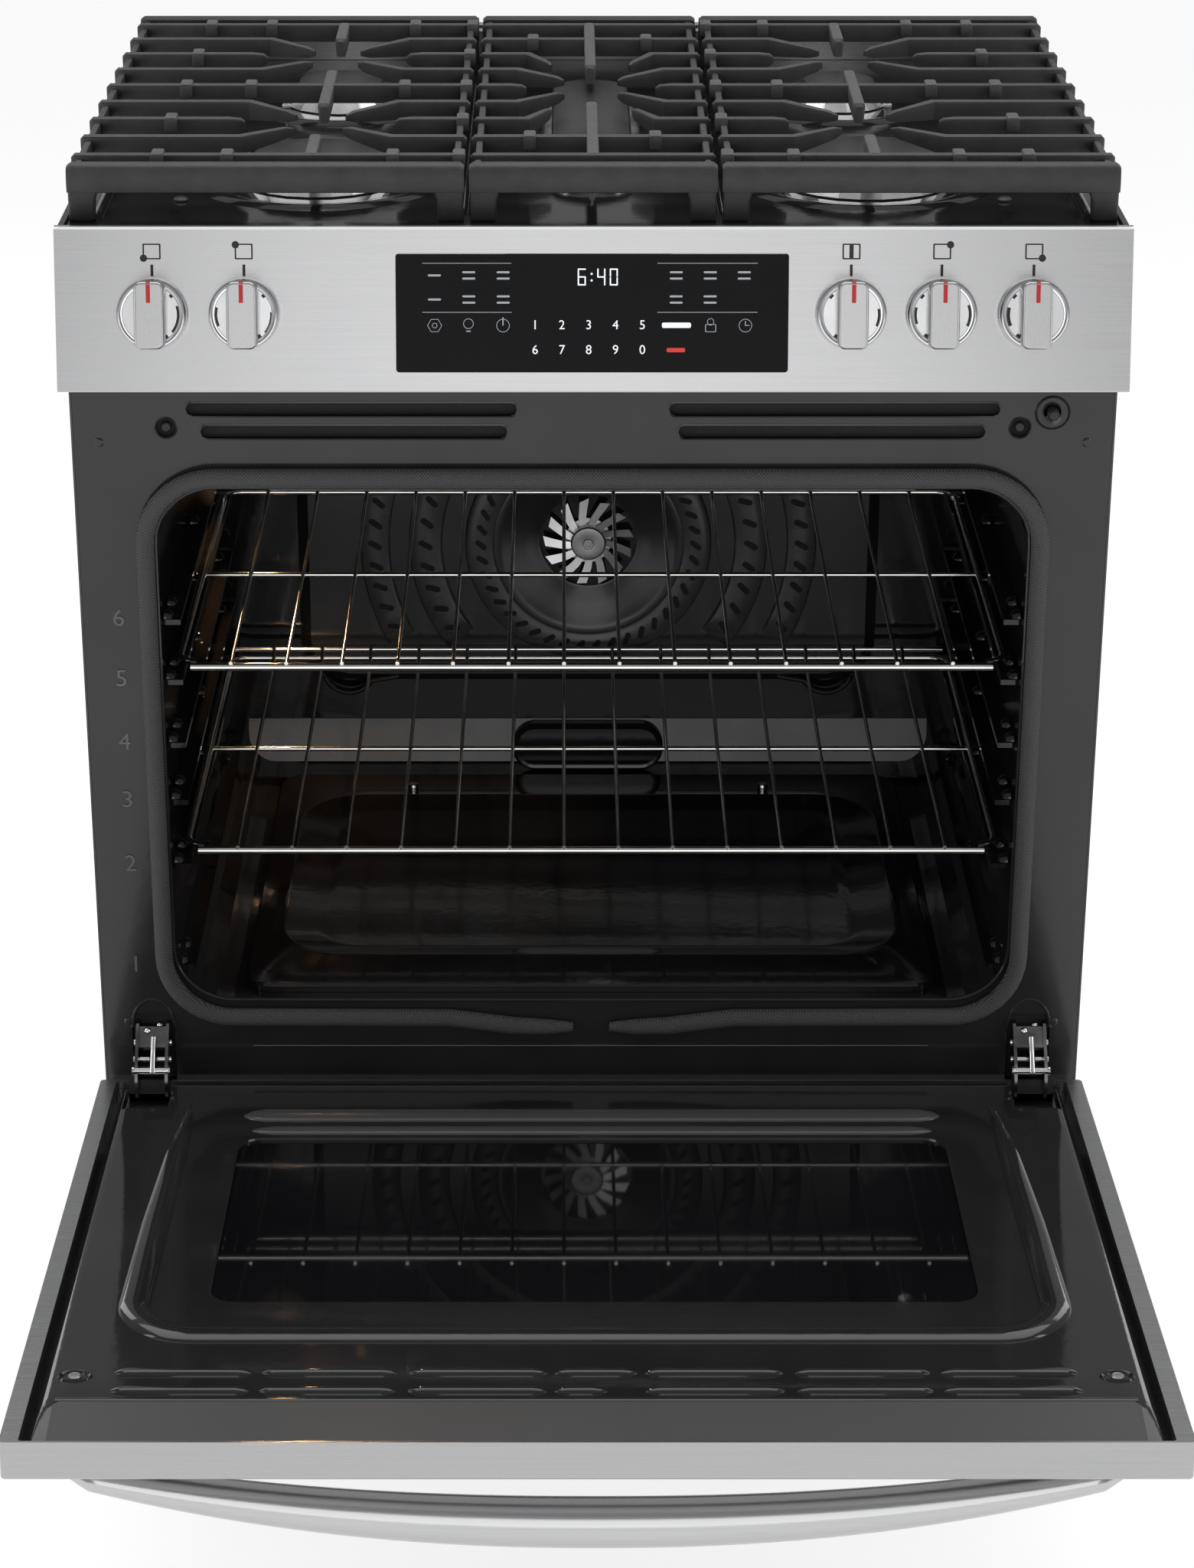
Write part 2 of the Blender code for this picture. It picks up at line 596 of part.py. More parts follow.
def make_door_switch(materials, body):
    """The sprung plunger that the shut door would press."""
    bm = bmesh.new()
    add_turned(bm, [(0, -0.020), (0.0045, -0.020), (0.0045, 0.0060), (0.0030, 0.0080), (0, 0.0080)], 12)
    place_at = (SWITCH_X, 0, SWITCH_Z)
    make_object("door_switch_plunger", bm, materials["black_plastic"], body, place_at, FACE_FRONT)


# -------------------------------------------------------------------------------------------------- drawer


def make_drawer(materials, body):
    """The storage drawer under the oven: an open steel tray behind a stainless front."""
    front, back = -0.043, -0.0020
    bm = bmesh.new()
    low, high = BASE_TOP + 0.0150, DRAWER_TOP - 0.010
    outside = rounded((-0.3585, back + GAP), (0.3585, 0.560), 0.006, 2)
    inside = rounded((-0.3570, back + GAP + SHEET), (0.3570, 0.5585), 0.0045, 2)
    add_loft(bm, "Z", [(outside, low), (outside, high), (inside, high), (inside, low + SHEET)])
    make_object("drawer_box", bm, materials["galvanised"], body)
    face, soft, hollow, lip = (
        rounded((-DOOR_HALF + inset, 0.056 + inset), (DOOR_HALF - inset, DRAWER_TOP - inset), 0.002, 2)
        for inset in (0.0, 0.001, 0.003, 0.024)
    )
    bm = bmesh.new()
    rings = [(soft, front), (face, front + 0.001), (face, back), (lip, back)]
    rings += [(lip, back - SHEET), (hollow, back - SHEET), (hollow, front + 0.002)]
    add_loft(bm, "Y", rings)
    make_object("drawer_front", bm, materials["stainless"], body)


# ------------------------------------------------------------------------------------------------ controls


def make_controls(materials, body):
    """Everything on the slanted panel. Local X is across, Y up the slope and Z out of its face."""
    rise = PANEL_TOP[1] - PANEL_BOTTOM[1]
    run = PANEL_TOP[0] - PANEL_BOTTOM[0]
    slope = math.atan2(rise, run)
    middle = (0, (PANEL_TOP[0] + PANEL_BOTTOM[0]) / 2, (PANEL_TOP[1] + PANEL_BOTTOM[1]) / 2)
    plane = make_empty("panel_plane", middle, (slope, 0, 0), body)
    knob_v = (KNOB_Z - middle[2]) / math.sin(slope)
    make_control_panel(materials, body, plane, knob_v)
    make_display(materials, plane)
    make_manifold(materials, plane, knob_v)
    for x, name in zip(KNOB_XS, KNOB_NAMES):
        make_knob(materials, plane, name, (x, knob_v, 0))


def make_control_panel(materials, body, plane, knob_v):
    """The folded stainless fascia with its top and bottom returns, end caps, window and stem holes."""
    half = PANEL_WIDTH / 2
    (top_y, top_z), (low_y, low_z) = PANEL_TOP, PANEL_BOTTOM
    thick = PANEL_THICK
    shell = [
        (low_y, low_z),
        (low_y, low_z + 0.001),
        (top_y - 0.0004, top_z - 0.0015),
        (top_y + 0.0015, top_z),
        (-0.0040, top_z),
        (-0.0040, top_z - thick),
        (top_y + thick * 0.9, top_z - thick),
        (low_y + thick * 1.2, low_z + thick),
        (-0.0006, low_z + thick),
        (-0.0006, low_z),
    ]
    bm = bmesh.new()
    add_prism(bm, "X", shell, -half, half)
    panel = make_object("control_panel", bm, materials["stainless"], body)
    cap = [(low_y, low_z), (top_y, top_z - 0.001), (top_y + 0.0015, top_z), (-0.0040, top_z), (-0.0006, low_z)]
    bm = bmesh.new()
    for side in (-1, 1):
        xs = sorted((side * (half - thick), side * half))
        add_prism(bm, "X", cap, *xs)
    apply_tool(panel, make_tool("panel_end_caps", bm, body), "UNION")
    bm = bmesh.new()
    add_prism(bm, "Z", rounded((-0.140, -0.044), (0.138, 0.0396), 0.002, 2), -0.02, 0.01)
    for x in KNOB_XS:
        add_prism(bm, "Z", circle(0.0070, 14, (x, knob_v)), -0.02, 0.01)
    apply_tool(panel, make_tool("panel_holes", bm, plane), "DIFFERENCE")


def make_display(materials, plane):
    bm = bmesh.new()
    low, high = (-0.140 + GAP, -0.044 + GAP), (0.138 - GAP, 0.0396 - GAP)
    add_prism(bm, "Z", rounded(low, high, 0.002, 2), -0.0035, 0.0006)
    make_object("display_glass", bm, materials["black_glass"], plane)
    bm = bmesh.new()
    add_box(bm, (-0.125, -0.038, -0.024), (0.123, 0.034, -0.0035 - GAP))
    make_object("control_board", bm, materials["black_plastic"], plane)


def make_manifold(materials, plane, knob_v):
    """The gas rail behind the panel with its five valve bodies, and the regulator that feeds it."""
    bm = bmesh.new()
    rail_depth = -0.058
    add_prism(bm, "X", circle(0.009, 12, (knob_v, rail_depth)), -0.345, 0.345)
    rail = make_object("gas_manifold", bm, materials["galvanised"], plane)
    bm = bmesh.new()
    valve_face = -0.012
    for x in KNOB_XS:
        valve = rounded((x - 0.012, knob_v - 0.012), (x + 0.012, knob_v + 0.012), 0.004, 1)
        add_prism(bm, "Z", valve, -0.060, valve_face)
    apply_tool(rail, make_tool("valve_shapes", bm, plane), "UNION")
    bm = bmesh.new()
    for x in KNOB_XS:
        add_prism(bm, "Z", circle(0.0044, 12, (x, knob_v)), valve_face - 0.014, 0.01)
    apply_tool(rail, make_tool("valve_bores", bm, plane), "DIFFERENCE")


def make_knob(materials, plane, name, at):
    """A valve stem that pushes in, and the knob on it that turns."""
    bm = bmesh.new()
    add_turned(bm, [(0, -0.0220), (0.0038, -0.0220), (0.0038, 0.0180), (0, 0.0180)], 12)
    make_object("valve_stem_" + name, bm, materials["brass"], plane, at)
    bm = bmesh.new()
    skirt, lip, face, top = KNOB_PUSH + 0.0008, 0.0075, 0.0120, 0.0290
    back = [(0, 0.0190), (0.0042, 0.0190), (0.0042, 0.0055), (0.0200, 0.0055), (0.0210, skirt)]
    rim = [(KNOB_RADIUS, skirt), (KNOB_RADIUS, lip), (0.0225, face), (0, face)]
    add_turned(bm, back + rim, 20)
    knob = make_object("knob_" + name, bm, materials["chrome"], plane, at)
    bm = bmesh.new()
    grip = rounded((-0.0105, -0.0228), (0.0105, 0.0228), 0.0060, 3)
    crown = rounded((-0.0090, -0.0215), (0.0090, 0.0215), 0.0050, 3)
    add_loft(bm, "Z", [(grip, face - 0.0030), (grip, top - 0.0020), (crown, top)])
    tool = make_tool("grip_" + name, bm, plane, at)
    apply_tool(knob, tool, "UNION")
    bm = bmesh.new()
    add_prism(bm, "Z", circle(0.0042, 12), -0.01, 0.0190)
    apply_tool(knob, make_tool("stem_bore_" + name, bm, plane, at), "DIFFERENCE")


def make_regulator(materials, body):
    bm = bmesh.new()
    inlet = [(0, 0), (0.012, 0), (0.012, 0.010)]
    bowl = [(0.028, 0.014), (0.028, 0.034), (0.010, 0.042), (0, 0.042)]
    add_turned(bm, inlet + bowl, 16)
    make_object("pressure_regulator", bm, materials["aluminium"], body, (0.300, 0.545, 0.225))


# ------------------------------------------------------------------------------------------------- cooktop


def make_cooktop(materials, body):
    """The enamelled tray under the grates, with a low rim and a throat hole for each burner."""
    half = PANEL_WIDTH / 2 - 0.001
    low = COOKTOP_Z - 0.004
    rim = 0.0025
    under = rounded((-half + 0.003, 0.0), (half - 0.003, DEPTH + 0.003), 0.006, 2)
    outer = rounded((-half, -0.0032), (half, DEPTH + 0.006), 0.006, 2)
    lip = rounded((-half + 0.004, 0.001), (half - 0.004, DEPTH + 0.002), 0.006, 2)
    well = rounded((-half + 0.0055, 0.0035), (half - 0.0055, DEPTH), 0.006, 2)
    bm = bmesh.new()
    rings = [(under, COOKTOP_Z - SHEET), (under, low), (outer, low), (outer, COOKTOP_Z + rim)]
    add_loft(bm, "Z", rings + [(lip, COOKTOP_Z + rim), (well, COOKTOP_Z)])
    top = make_object("cooktop", bm, materials["black_enamel"], body)
    bm = bmesh.new()
    for x, y, _ in BURNERS.values():
        add_prism(bm, "Z", circle(0.021, 16, (x, y)), 0.88, 0.91)
    add_prism(bm, "Z", circle(0.021, 16, CENTRE_BURNER[:2]), 0.88, 0.91)
    apply_tool(top, make_tool("throat_holes", bm, body), "DIFFERENCE")


def make_vent_trim(materials, body):
    """The oven's flue outlet along the back of the cooktop, with slots in its face."""
    bm = bmesh.new()
    low = COOKTOP_Z + GAP
    add_box(bm, (-0.360, 0.562, low), (0.360, 0.5995, low + 0.024))
    trim = make_object("rear_vent_trim", bm, materials["stainless"], body)
    bm = bmesh.new()
    add_box(bm, (-0.355, 0.566, low - 0.01), (0.355, 0.5955, low + 0.020))
    slots = 9
    for slot in range(slots):
        x = (slot - (slots - 1) / 2) * 0.076
        add_prism(bm, "Z", rounded((x - 0.030, 0.574), (x + 0.030, 0.587), 0.005, 1), low + 0.018, low + 0.05)
    apply_tool(trim, make_tool("flue_shapes", bm, body), "DIFFERENCE", overlapping=True)


def make_burners(materials, body):
    """Each burner is an aluminium head on a throat through the cooktop, with a loose enamelled cap."""
    low = COOKTOP_Z + GAP
    seat = HEAD_TALL + GAP
    for name, (x, y, radius) in BURNERS.items():
        bm = bmesh.new()
        throat = [(0, -0.025), (THROAT_RADIUS, -0.025), (THROAT_RADIUS, 0.0)]
        skirt = [(radius + 0.008, 0.0), (radius + 0.008, 0.002), (radius - 0.004, 0.005)]
        head = throat + skirt + [(radius - 0.004, HEAD_TALL), (0, HEAD_TALL)]
        add_turned(bm, head, 16)
        make_object("burner_base_" + name, bm, materials["aluminium"], body, (x, y, low))
        bm = bmesh.new()
        cap = [(0, seat), (radius, seat), (radius, seat + CAP_EDGE)]
        cap += [(radius * 0.9, seat + CAP_THICK - 0.0008), (0, seat + CAP_THICK)]
        add_turned(bm, cap, 16)
        make_object("burner_cap_" + name, bm, materials["cast_iron"], body, (x, y, low))
    x, y, radius, half = CENTRE_BURNER
    ends = [oval(radius + grow, half) for grow in (0.007, -0.003)]
    bm = bmesh.new()
    add_loft(bm, "Z", [(ends[0], 0.0), (ends[0], 0.002), (ends[1], 0.005), (ends[1], HEAD_TALL)])
    base = make_object("burner_base_centre", bm, materials["aluminium"], body, (x, y, low))
    bm = bmesh.new()
    add_prism(bm, "Z", circle(THROAT_RADIUS, 16), -0.025, 0.004)
    apply_tool(base, make_tool("centre_throat", bm, body, (x, y, low)), "UNION")
    bm = bmesh.new()
    side, crown = oval(radius, half), oval(radius - 0.004, half)
    add_loft(bm, "Z", [(side, seat), (side, seat + CAP_EDGE), (crown, seat + CAP_THICK - 0.0008)])
    make_object("burner_cap_centre", bm, materials["cast_iron"], body, (x, y, low))


def oval(radius, half, steps=8):
    """A stadium outline: two half rounds whose centres lie half away each way along Y."""
    points = []
    for end in (1, -1):
        for step in range(steps + 1):
            angle = math.pi * step / steps + (0 if end > 0 else math.pi)
            points.append((radius * math.cos(angle), end * half + radius * math.sin(angle)))
    return points


def add_finger(bm, start, end, low, high):
    """A slanted bar between two (x, y) points."""
    along = Vector(end) - Vector(start)
    across = Vector((-along.y, along.x)).normalized() * BAR_WIDE / 2
    tip = across * 0.8
    corners = [Vector(start) + across, Vector(start) - across, Vector(end) - tip, Vector(end) + tip]
    add_prism(bm, "Z", [(point.x, point.y) for point in corners], low, high)


def make_grates(materials, body):
    inner = GRATE_SPLIT - 0.0015
    spans = {
        "grate_left": (-GRATE_HALF, -GRATE_SPLIT - 0.0015),
        "grate_centre": (-inner, inner),
        "grate_right": (GRATE_SPLIT + 0.0015, GRATE_HALF),
    }
    for name, (left, right) in spans.items():
        make_grate(materials, body, name, left, right)


def make_grate(materials, body, name, left, right):
    """A cast grate: a skirted front and back, side walls, bars across, and fingers over the burners."""
    top = GRATE_TOP
    low = COOKTOP_Z + GAP
    skirt = top - 0.021
    bar_low = top - BAR_TALL
    middle = (left + right) / 2
    centre = name == "grate_centre"
    bm = bmesh.new()
    for y in (GRATE_FRONT, GRATE_BACK - 0.014):
        add_box(bm, (left, y, skirt), (right, y + 0.014, top))
    bars = BAR_YS[::4]
    for y in bars:
        add_box(bm, (left, y - BAR_WIDE / 2, bar_low), (right, y + BAR_WIDE / 2, top))
    reach = 0.046 if centre else 0.088
    for y in BAR_YS:
        if y in bars:
            continue
        for low_x, high_x in ((left, left + reach), (right - reach, right)):
            add_box(bm, (low_x, y - BAR_WIDE / 2, bar_low), (high_x, y + BAR_WIDE / 2, top))
    grate = make_object(name, bm, materials["cast_iron"], body)

    bm = bmesh.new()
    wall = 0.006
    for x in (left + 0.0005, right - wall - 0.0005):
        add_box(bm, (x, GRATE_FRONT + 0.001, bar_low + 0.001), (x + wall, GRATE_BACK - 0.001, top - 0.001))
    for x in {left + 0.002, right - 0.014}:
        for y in (GRATE_FRONT + 0.001, GRATE_BACK - 0.013):
            add_box(bm, (x, y, low), (x + 0.012, y + 0.012, top - 0.012))
    for low_y, high_y in ((GRATE_FRONT + 0.001, 0.105), (0.255, 0.317), (0.470, GRATE_BACK - 0.001)):
        add_box(bm, (middle - 0.0045, low_y, bar_low + 0.001), (middle + 0.0045, high_y, top - 0.0005))
    tip = 0.017 if centre else 0.028
    roots = ((left + reach - 0.004, middle - tip), (right - reach + 0.004, middle + tip))
    for burner_y in BAR_YS[2::4]:
        for row in (-1, 1):
            start_y, end_y = burner_y + row * (BAR_YS[2] - BAR_YS[1]), burner_y + row * 0.024
            for from_x, to_x in roots:
                add_finger(bm, (from_x, start_y), (to_x, end_y), bar_low + 0.001, top - 0.0005)
    apply_tool(grate, make_tool(name + "_walls", bm, body), "UNION", overlapping=True)


def main():
    clear_scene()
    materials = make_materials()
    body = make_empty("range_front", (0, FRONT_Y, 0))
    for make in (
        make_feet,
        make_base_frame,
        make_side_panels,
        make_back_panel,
        make_front_frame,
        make_oven_cavity,
        make_oven_floor,
        make_gasket,
        make_baffle,
        make_fan,
        make_oven_burners,
        make_oven_fittings,
        make_racks,
        make_door,
        make_hinge_arms,
        make_door_switch,
        make_drawer,
        make_controls,
        make_regulator,
        make_cooktop,
        make_vent_trim,
        make_burners,
        make_grates,
    ):
        make(materials, body)


main()
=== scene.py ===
"""The looks of a freestanding gas range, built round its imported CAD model.

Metres, in the CAD model's frame: +Z up, X across the range, -Y towards the cook. A piece is drawn in the
frame of the part it belongs to (BODY, DOOR or PANEL) and a matrix carries it into the world.
"""

import json
import math

import bmesh
import bpy
from mathutils import Matrix, Vector


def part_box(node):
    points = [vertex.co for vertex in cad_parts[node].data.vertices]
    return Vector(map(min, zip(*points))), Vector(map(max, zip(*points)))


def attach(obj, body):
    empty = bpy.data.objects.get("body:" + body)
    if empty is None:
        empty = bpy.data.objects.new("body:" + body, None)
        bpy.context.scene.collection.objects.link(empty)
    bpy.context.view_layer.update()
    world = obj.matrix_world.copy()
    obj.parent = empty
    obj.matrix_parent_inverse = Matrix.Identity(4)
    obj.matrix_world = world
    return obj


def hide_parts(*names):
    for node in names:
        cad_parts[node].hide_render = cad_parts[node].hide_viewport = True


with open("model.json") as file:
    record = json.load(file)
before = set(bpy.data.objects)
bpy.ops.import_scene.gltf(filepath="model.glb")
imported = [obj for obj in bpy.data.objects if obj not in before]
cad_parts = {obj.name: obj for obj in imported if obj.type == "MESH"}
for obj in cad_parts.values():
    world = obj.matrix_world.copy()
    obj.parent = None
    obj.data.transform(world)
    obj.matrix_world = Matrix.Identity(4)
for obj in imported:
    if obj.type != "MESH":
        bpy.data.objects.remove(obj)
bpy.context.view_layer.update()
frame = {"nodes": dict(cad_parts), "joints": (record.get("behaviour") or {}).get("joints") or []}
JOINTS = {joint["name"]: joint for joint in frame["joints"]}

# Frames, worked out from the CAD model
FRONT_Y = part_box("front_frame")[0].y  # the body's front plane
WORLD = Matrix.Identity(4)
INWARD = (0, 1, 0)  # away from the cook, and out of the liner's face in the door's frame
BODY = Matrix.Translation((0, FRONT_Y, 0))
FACE_FRONT = Matrix.Rotation(math.pi / 2, 4, "X")  # turns local Z towards the cook
FACE_BACK = Matrix.Rotation(-math.pi / 2, 4, "X")
DOOR_OPEN = -math.radians(JOINTS["door_hinge"]["range_deg"][0])
DOOR = Matrix.Translation(JOINTS["door_hinge"]["pos_m"]) @ Matrix.Rotation(DOOR_OPEN, 4, "X")
KNOBS = {
    name.removeprefix("knob_turn_"): joint["pos_m"][0]
    for name, joint in JOINTS.items()
    if name.startswith("knob_turn_")
}
PANEL_NORMAL = JOINTS["knob_turn_centre"]["axis"]
PANEL_TILT = math.atan2(-PANEL_NORMAL[1], PANEL_NORMAL[2])
KNOB_ROW = JOINTS["knob_turn_centre"]["pos_m"]
PANEL = Matrix.Translation((0, KNOB_ROW[1], KNOB_ROW[2])) @ Matrix.Rotation(PANEL_TILT, 4, "X")
DISPLAY_RISE = 0.0026  # the display's middle stands this far above the knobs' row

GRATE_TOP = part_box("grate_left")[1].z
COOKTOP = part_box("grate_left")[0].z
MOUTH_HALF = 0.3205  # the oven's mouth
MOUTH_LOW, MOUTH_HIGH = 0.288, 0.704
BACK_WALL = 0.455
FRAME_SLOTS = ((0.763, 0.055, 0.294), (0.746, 0.062, 0.284))  # cooling slots: height, inner end, outer end
BUMPER_X, BUMPER_Z = 0.309, 0.749
HINGE_X = 0.339
FAN_Z = JOINTS["fan_spin"]["pos_m"][2]
RACK_LEVELS = (0.318, 0.403, 0.456, 0.503, 0.554, 0.602)


# ------------------------------------------------------------------------------------------------- materials


MATERIALS = {}


def new_material(name, colour, roughness, metallic=0.0):
    material = bpy.data.materials.new(name)
    MATERIALS[name] = material
    material.use_nodes = True
    shader = material.node_tree.nodes["Principled BSDF"]
    shader.inputs["Base Color"].default_value = (*colour, 1.0)
    shader.inputs["Roughness"].default_value = roughness
    shader.inputs["Metallic"].default_value = metallic
    return material.node_tree, shader


def noise(tree, scale, stretch=(1.0, 1.0, 1.0), detail=2.0):
    """A noise texture fixed to the piece, finer along the axes whose stretch is larger."""
    coords = tree.nodes.new("ShaderNodeTexCoord")
    mapping = tree.nodes.new("ShaderNodeMapping")
    texture = tree.nodes.new("ShaderNodeTexNoise")
    mapping.inputs["Scale"].default_value = stretch
    texture.inputs["Scale"].default_value = scale
    texture.inputs["Detail"].default_value = detail
    tree.links.new(coords.outputs["Object"], mapping.inputs["Vector"])
    tree.links.new(mapping.outputs["Vector"], texture.inputs["Vector"])
    return texture.outputs[0]


def vary_value(tree, source, socket, low, high):
    """Drive a number by a texture, between two values."""
    spread = tree.nodes.new("ShaderNodeMapRange")
    spread.inputs["From Min"].default_value = 0.3
    spread.inputs["From Max"].default_value = 0.7
    spread.inputs["To Min"].default_value = low
    spread.inputs["To Max"].default_value = high
    tree.links.new(source, spread.inputs["Value"])
    tree.links.new(spread.outputs["Result"], socket)


def vary_colour(tree, source, socket, dark, light):
    ramp = tree.nodes.new("ShaderNodeValToRGB")
    ramp.color_ramp.elements[0].position = 0.3
    ramp.color_ramp.elements[1].position = 0.7
    ramp.color_ramp.elements[0].color = (*dark, 1.0)
    ramp.color_ramp.elements[1].color = (*light, 1.0)
    tree.links.new(source, ramp.inputs["Fac"])
    tree.links.new(ramp.outputs["Color"], socket)


def add_bump(tree, source, shader, depth):
    bump = tree.nodes.new("ShaderNodeBump")
    bump.inputs["Distance"].default_value = depth
    tree.links.new(source, bump.inputs["Height"])
    tree.links.new(bump.outputs["Normal"], shader.inputs["Normal"])


def lighter(colour, share):
    return tuple(part * share for part in colour)


def brushed_metal(name, dark, light, roughness, along="X"):
    """Sheet with a brushed grain that runs along one axis."""
    stretch = tuple(1.0 if axis == along else 160.0 for axis in "XYZ")
    tree, shader = new_material(name, light, roughness, 1.0)
    streaks = noise(tree, 9.0, stretch, 3.0)
    vary_colour(tree, streaks, shader.inputs["Base Color"], dark, light)
    vary_value(tree, streaks, shader.inputs["Roughness"], roughness - 0.03, roughness + 0.03)
    add_bump(tree, streaks, shader, 0.000006)


def smooth_metal(name, dark, light, roughness):
    """Plated or machined metal, with faint smears."""
    tree, shader = new_material(name, light, roughness, 1.0)
    smears = noise(tree, 45.0, detail=3.0)
    vary_colour(tree, smears, shader.inputs["Base Color"], dark, light)
    vary_value(tree, smears, shader.inputs["Roughness"], roughness * 0.8, roughness * 1.25)


def zinc_coat(name):
    """Zinc-coated sheet, with the crystal flakes of its coating."""
    tree, shader = new_material(name, (0.40, 0.41, 0.42), 0.42, 1.0)
    coords = tree.nodes.new("ShaderNodeTexCoord")
    flakes = tree.nodes.new("ShaderNodeTexVoronoi")
    flakes.inputs["Scale"].default_value = 130.0
    tree.links.new(coords.outputs["Object"], flakes.inputs["Vector"])
    tone = tree.nodes.new("ShaderNodeSeparateColor")
    tree.links.new(flakes.outputs["Color"], tone.inputs["Color"])
    dark, light = (0.375, 0.385, 0.395), (0.425, 0.435, 0.445)
    vary_colour(tree, tone.outputs["Red"], shader.inputs["Base Color"], dark, light)
    vary_value(tree, tone.outputs["Green"], shader.inputs["Roughness"], 0.39, 0.45)


def enamel(name, colour, roughness, mottle=0.35, peel=0.00005):
    """Fired enamel: deep gloss over a slight orange peel. Mottle is how much lighter its clouds are."""
    tree, shader = new_material(name, colour, roughness)
    clouds = noise(tree, 14.0, detail=4.0)
    vary_colour(tree, clouds, shader.inputs["Base Color"], colour, lighter(colour, 1 + mottle))
    smooth, dull = roughness * (1 - mottle) ** 0.4, roughness * (1 + mottle) ** 0.6
    vary_value(tree, clouds, shader.inputs["Roughness"], smooth, dull)
    add_bump(tree, noise(tree, 120.0, detail=1.0), shader, peel)


def cast_metal(name, dark, light, roughness, grain=0.00025):
    """Cast iron under a matt coat: a fine sandy grain and uneven sheen."""
    tree, shader = new_material(name, light, roughness)
    vary_colour(tree, noise(tree, 60.0, detail=6.0), shader.inputs["Base Color"], dark, light)
    sand = noise(tree, 900.0, detail=2.0)
    vary_value(tree, sand, shader.inputs["Roughness"], roughness - 0.08, roughness + 0.10)
    add_bump(tree, sand, shader, grain)


def woven_seal(name):
    """Braided glass fibre: two sets of diagonal strands."""
    tree, shader = new_material(name, (0.06, 0.06, 0.062), 0.75)
    coords = tree.nodes.new("ShaderNodeTexCoord")
    weave = tree.nodes.new("ShaderNodeMath")
    weave.operation = "MAXIMUM"
    for index, turn in enumerate((45, -45)):
        mapping = tree.nodes.new("ShaderNodeMapping")
        mapping.inputs["Rotation"].default_value = (0.0, math.radians(turn), 0.0)
        strands = tree.nodes.new("ShaderNodeTexWave")
        strands.inputs["Scale"].default_value = 190.0
        strands.inputs["Distortion"].default_value = 0.6
        tree.links.new(coords.outputs["Object"], mapping.inputs["Vector"])
        tree.links.new(mapping.outputs["Vector"], strands.inputs["Vector"])
        tree.links.new(strands.outputs["Fac"], weave.inputs[index])
    dark, light = (0.030, 0.030, 0.032), (0.085, 0.085, 0.088)
    vary_colour(tree, weave.outputs[0], shader.inputs["Base Color"], dark, light)
    add_bump(tree, weave.outputs[0], shader, 0.0006)


def glossy_glass(name, colour, roughness=0.02, gloss=0.5):
    """Tinted glass over a dark cavity, with a trace of uneven polish."""
    tree, shader = new_material(name, colour, roughness)
    shader.inputs["Specular IOR Level"].default_value = gloss
    haze = noise(tree, 8.0, detail=3.0)
    vary_value(tree, haze, shader.inputs["Roughness"], roughness, roughness * 2.0)
    vary_colour(tree, haze, shader.inputs["Base Color"], colour, lighter(colour, 1.4))


def moulded_plastic(name, colour, roughness):
    tree, shader = new_material(name, colour, roughness)
    speck = noise(tree, 700.0, detail=1.0)
    vary_value(tree, speck, shader.inputs["Roughness"], roughness - 0.06, roughness + 0.06)
    vary_colour(tree, speck, shader.inputs["Base Color"], colour, lighter(colour, 1.3))
    add_bump(tree, speck, shader, 0.00006)


def lit(name, colour, strength):
    """Something that shines: a printed segment lit from behind, or a lamp's lens."""
    tree, shader = new_material(name, colour, 0.4)
    shader.inputs["Emission Strength"].default_value = strength
    glow = noise(tree, 300.0, detail=1.0)
    vary_colour(tree, glow, shader.inputs["Emission Color"], lighter(colour, 0.85), colour)


brushed_metal("stainless", (0.475, 0.475, 0.48), (0.505, 0.505, 0.51), 0.29)
brushed_metal("door_steel", (0.415, 0.415, 0.42), (0.445, 0.445, 0.45), 0.28)
brushed_metal("handle_steel", (0.50, 0.50, 0.505), (0.54, 0.54, 0.545), 0.22)
brushed_metal("satin", (0.46, 0.46, 0.465), (0.51, 0.51, 0.515), 0.32, along="Z")
smooth_metal("dial_metal", (0.58, 0.58, 0.585), (0.65, 0.65, 0.655), 0.26)
smooth_metal("ring_metal", (0.76, 0.76, 0.76), (0.82, 0.82, 0.82), 0.24)
smooth_metal("blade_metal", (0.80, 0.80, 0.80), (0.90, 0.90, 0.90), 0.40)
smooth_metal("chrome", (0.74, 0.74, 0.75), (0.84, 0.84, 0.85), 0.10)
smooth_metal("wire", (0.70, 0.69, 0.66), (0.84, 0.83, 0.80), 0.14)
smooth_metal("aluminium", (0.62, 0.62, 0.63), (0.74, 0.74, 0.75), 0.22)
smooth_metal("hinge_steel", (0.09, 0.09, 0.09), (0.30, 0.30, 0.30), 0.24)
zinc_coat("zinc")
enamel("black_enamel", (0.008, 0.008, 0.009), 0.09)
enamel("frame_enamel", (0.020, 0.020, 0.0205), 0.14)
enamel("liner_enamel", (0.018, 0.018, 0.0185), 0.08)
# Lighter enamel for the fan cover's raised bands and the back wall's band: a painted highlight, as they catch
# the front light.
enamel("band_enamel_painted_highlight", (0.046, 0.046, 0.047), 0.26)
enamel("pan_enamel", (0.022, 0.022, 0.0225), 0.20)
# Lighter enamel for the pressed rack numbers: a painted highlight where they catch the light.
enamel("number_painted_highlight", (0.10, 0.10, 0.10), 0.25)
enamel("grey_enamel", (0.055, 0.055, 0.058), 0.32, mottle=0.07)
# Lighter, rougher enamel for the liner's far slope: the roughness is its satin finish, the lighter colour a
# painted sheen.
enamel("chamfer_painted_sheen", (0.040, 0.040, 0.041), 0.42, mottle=0.10)
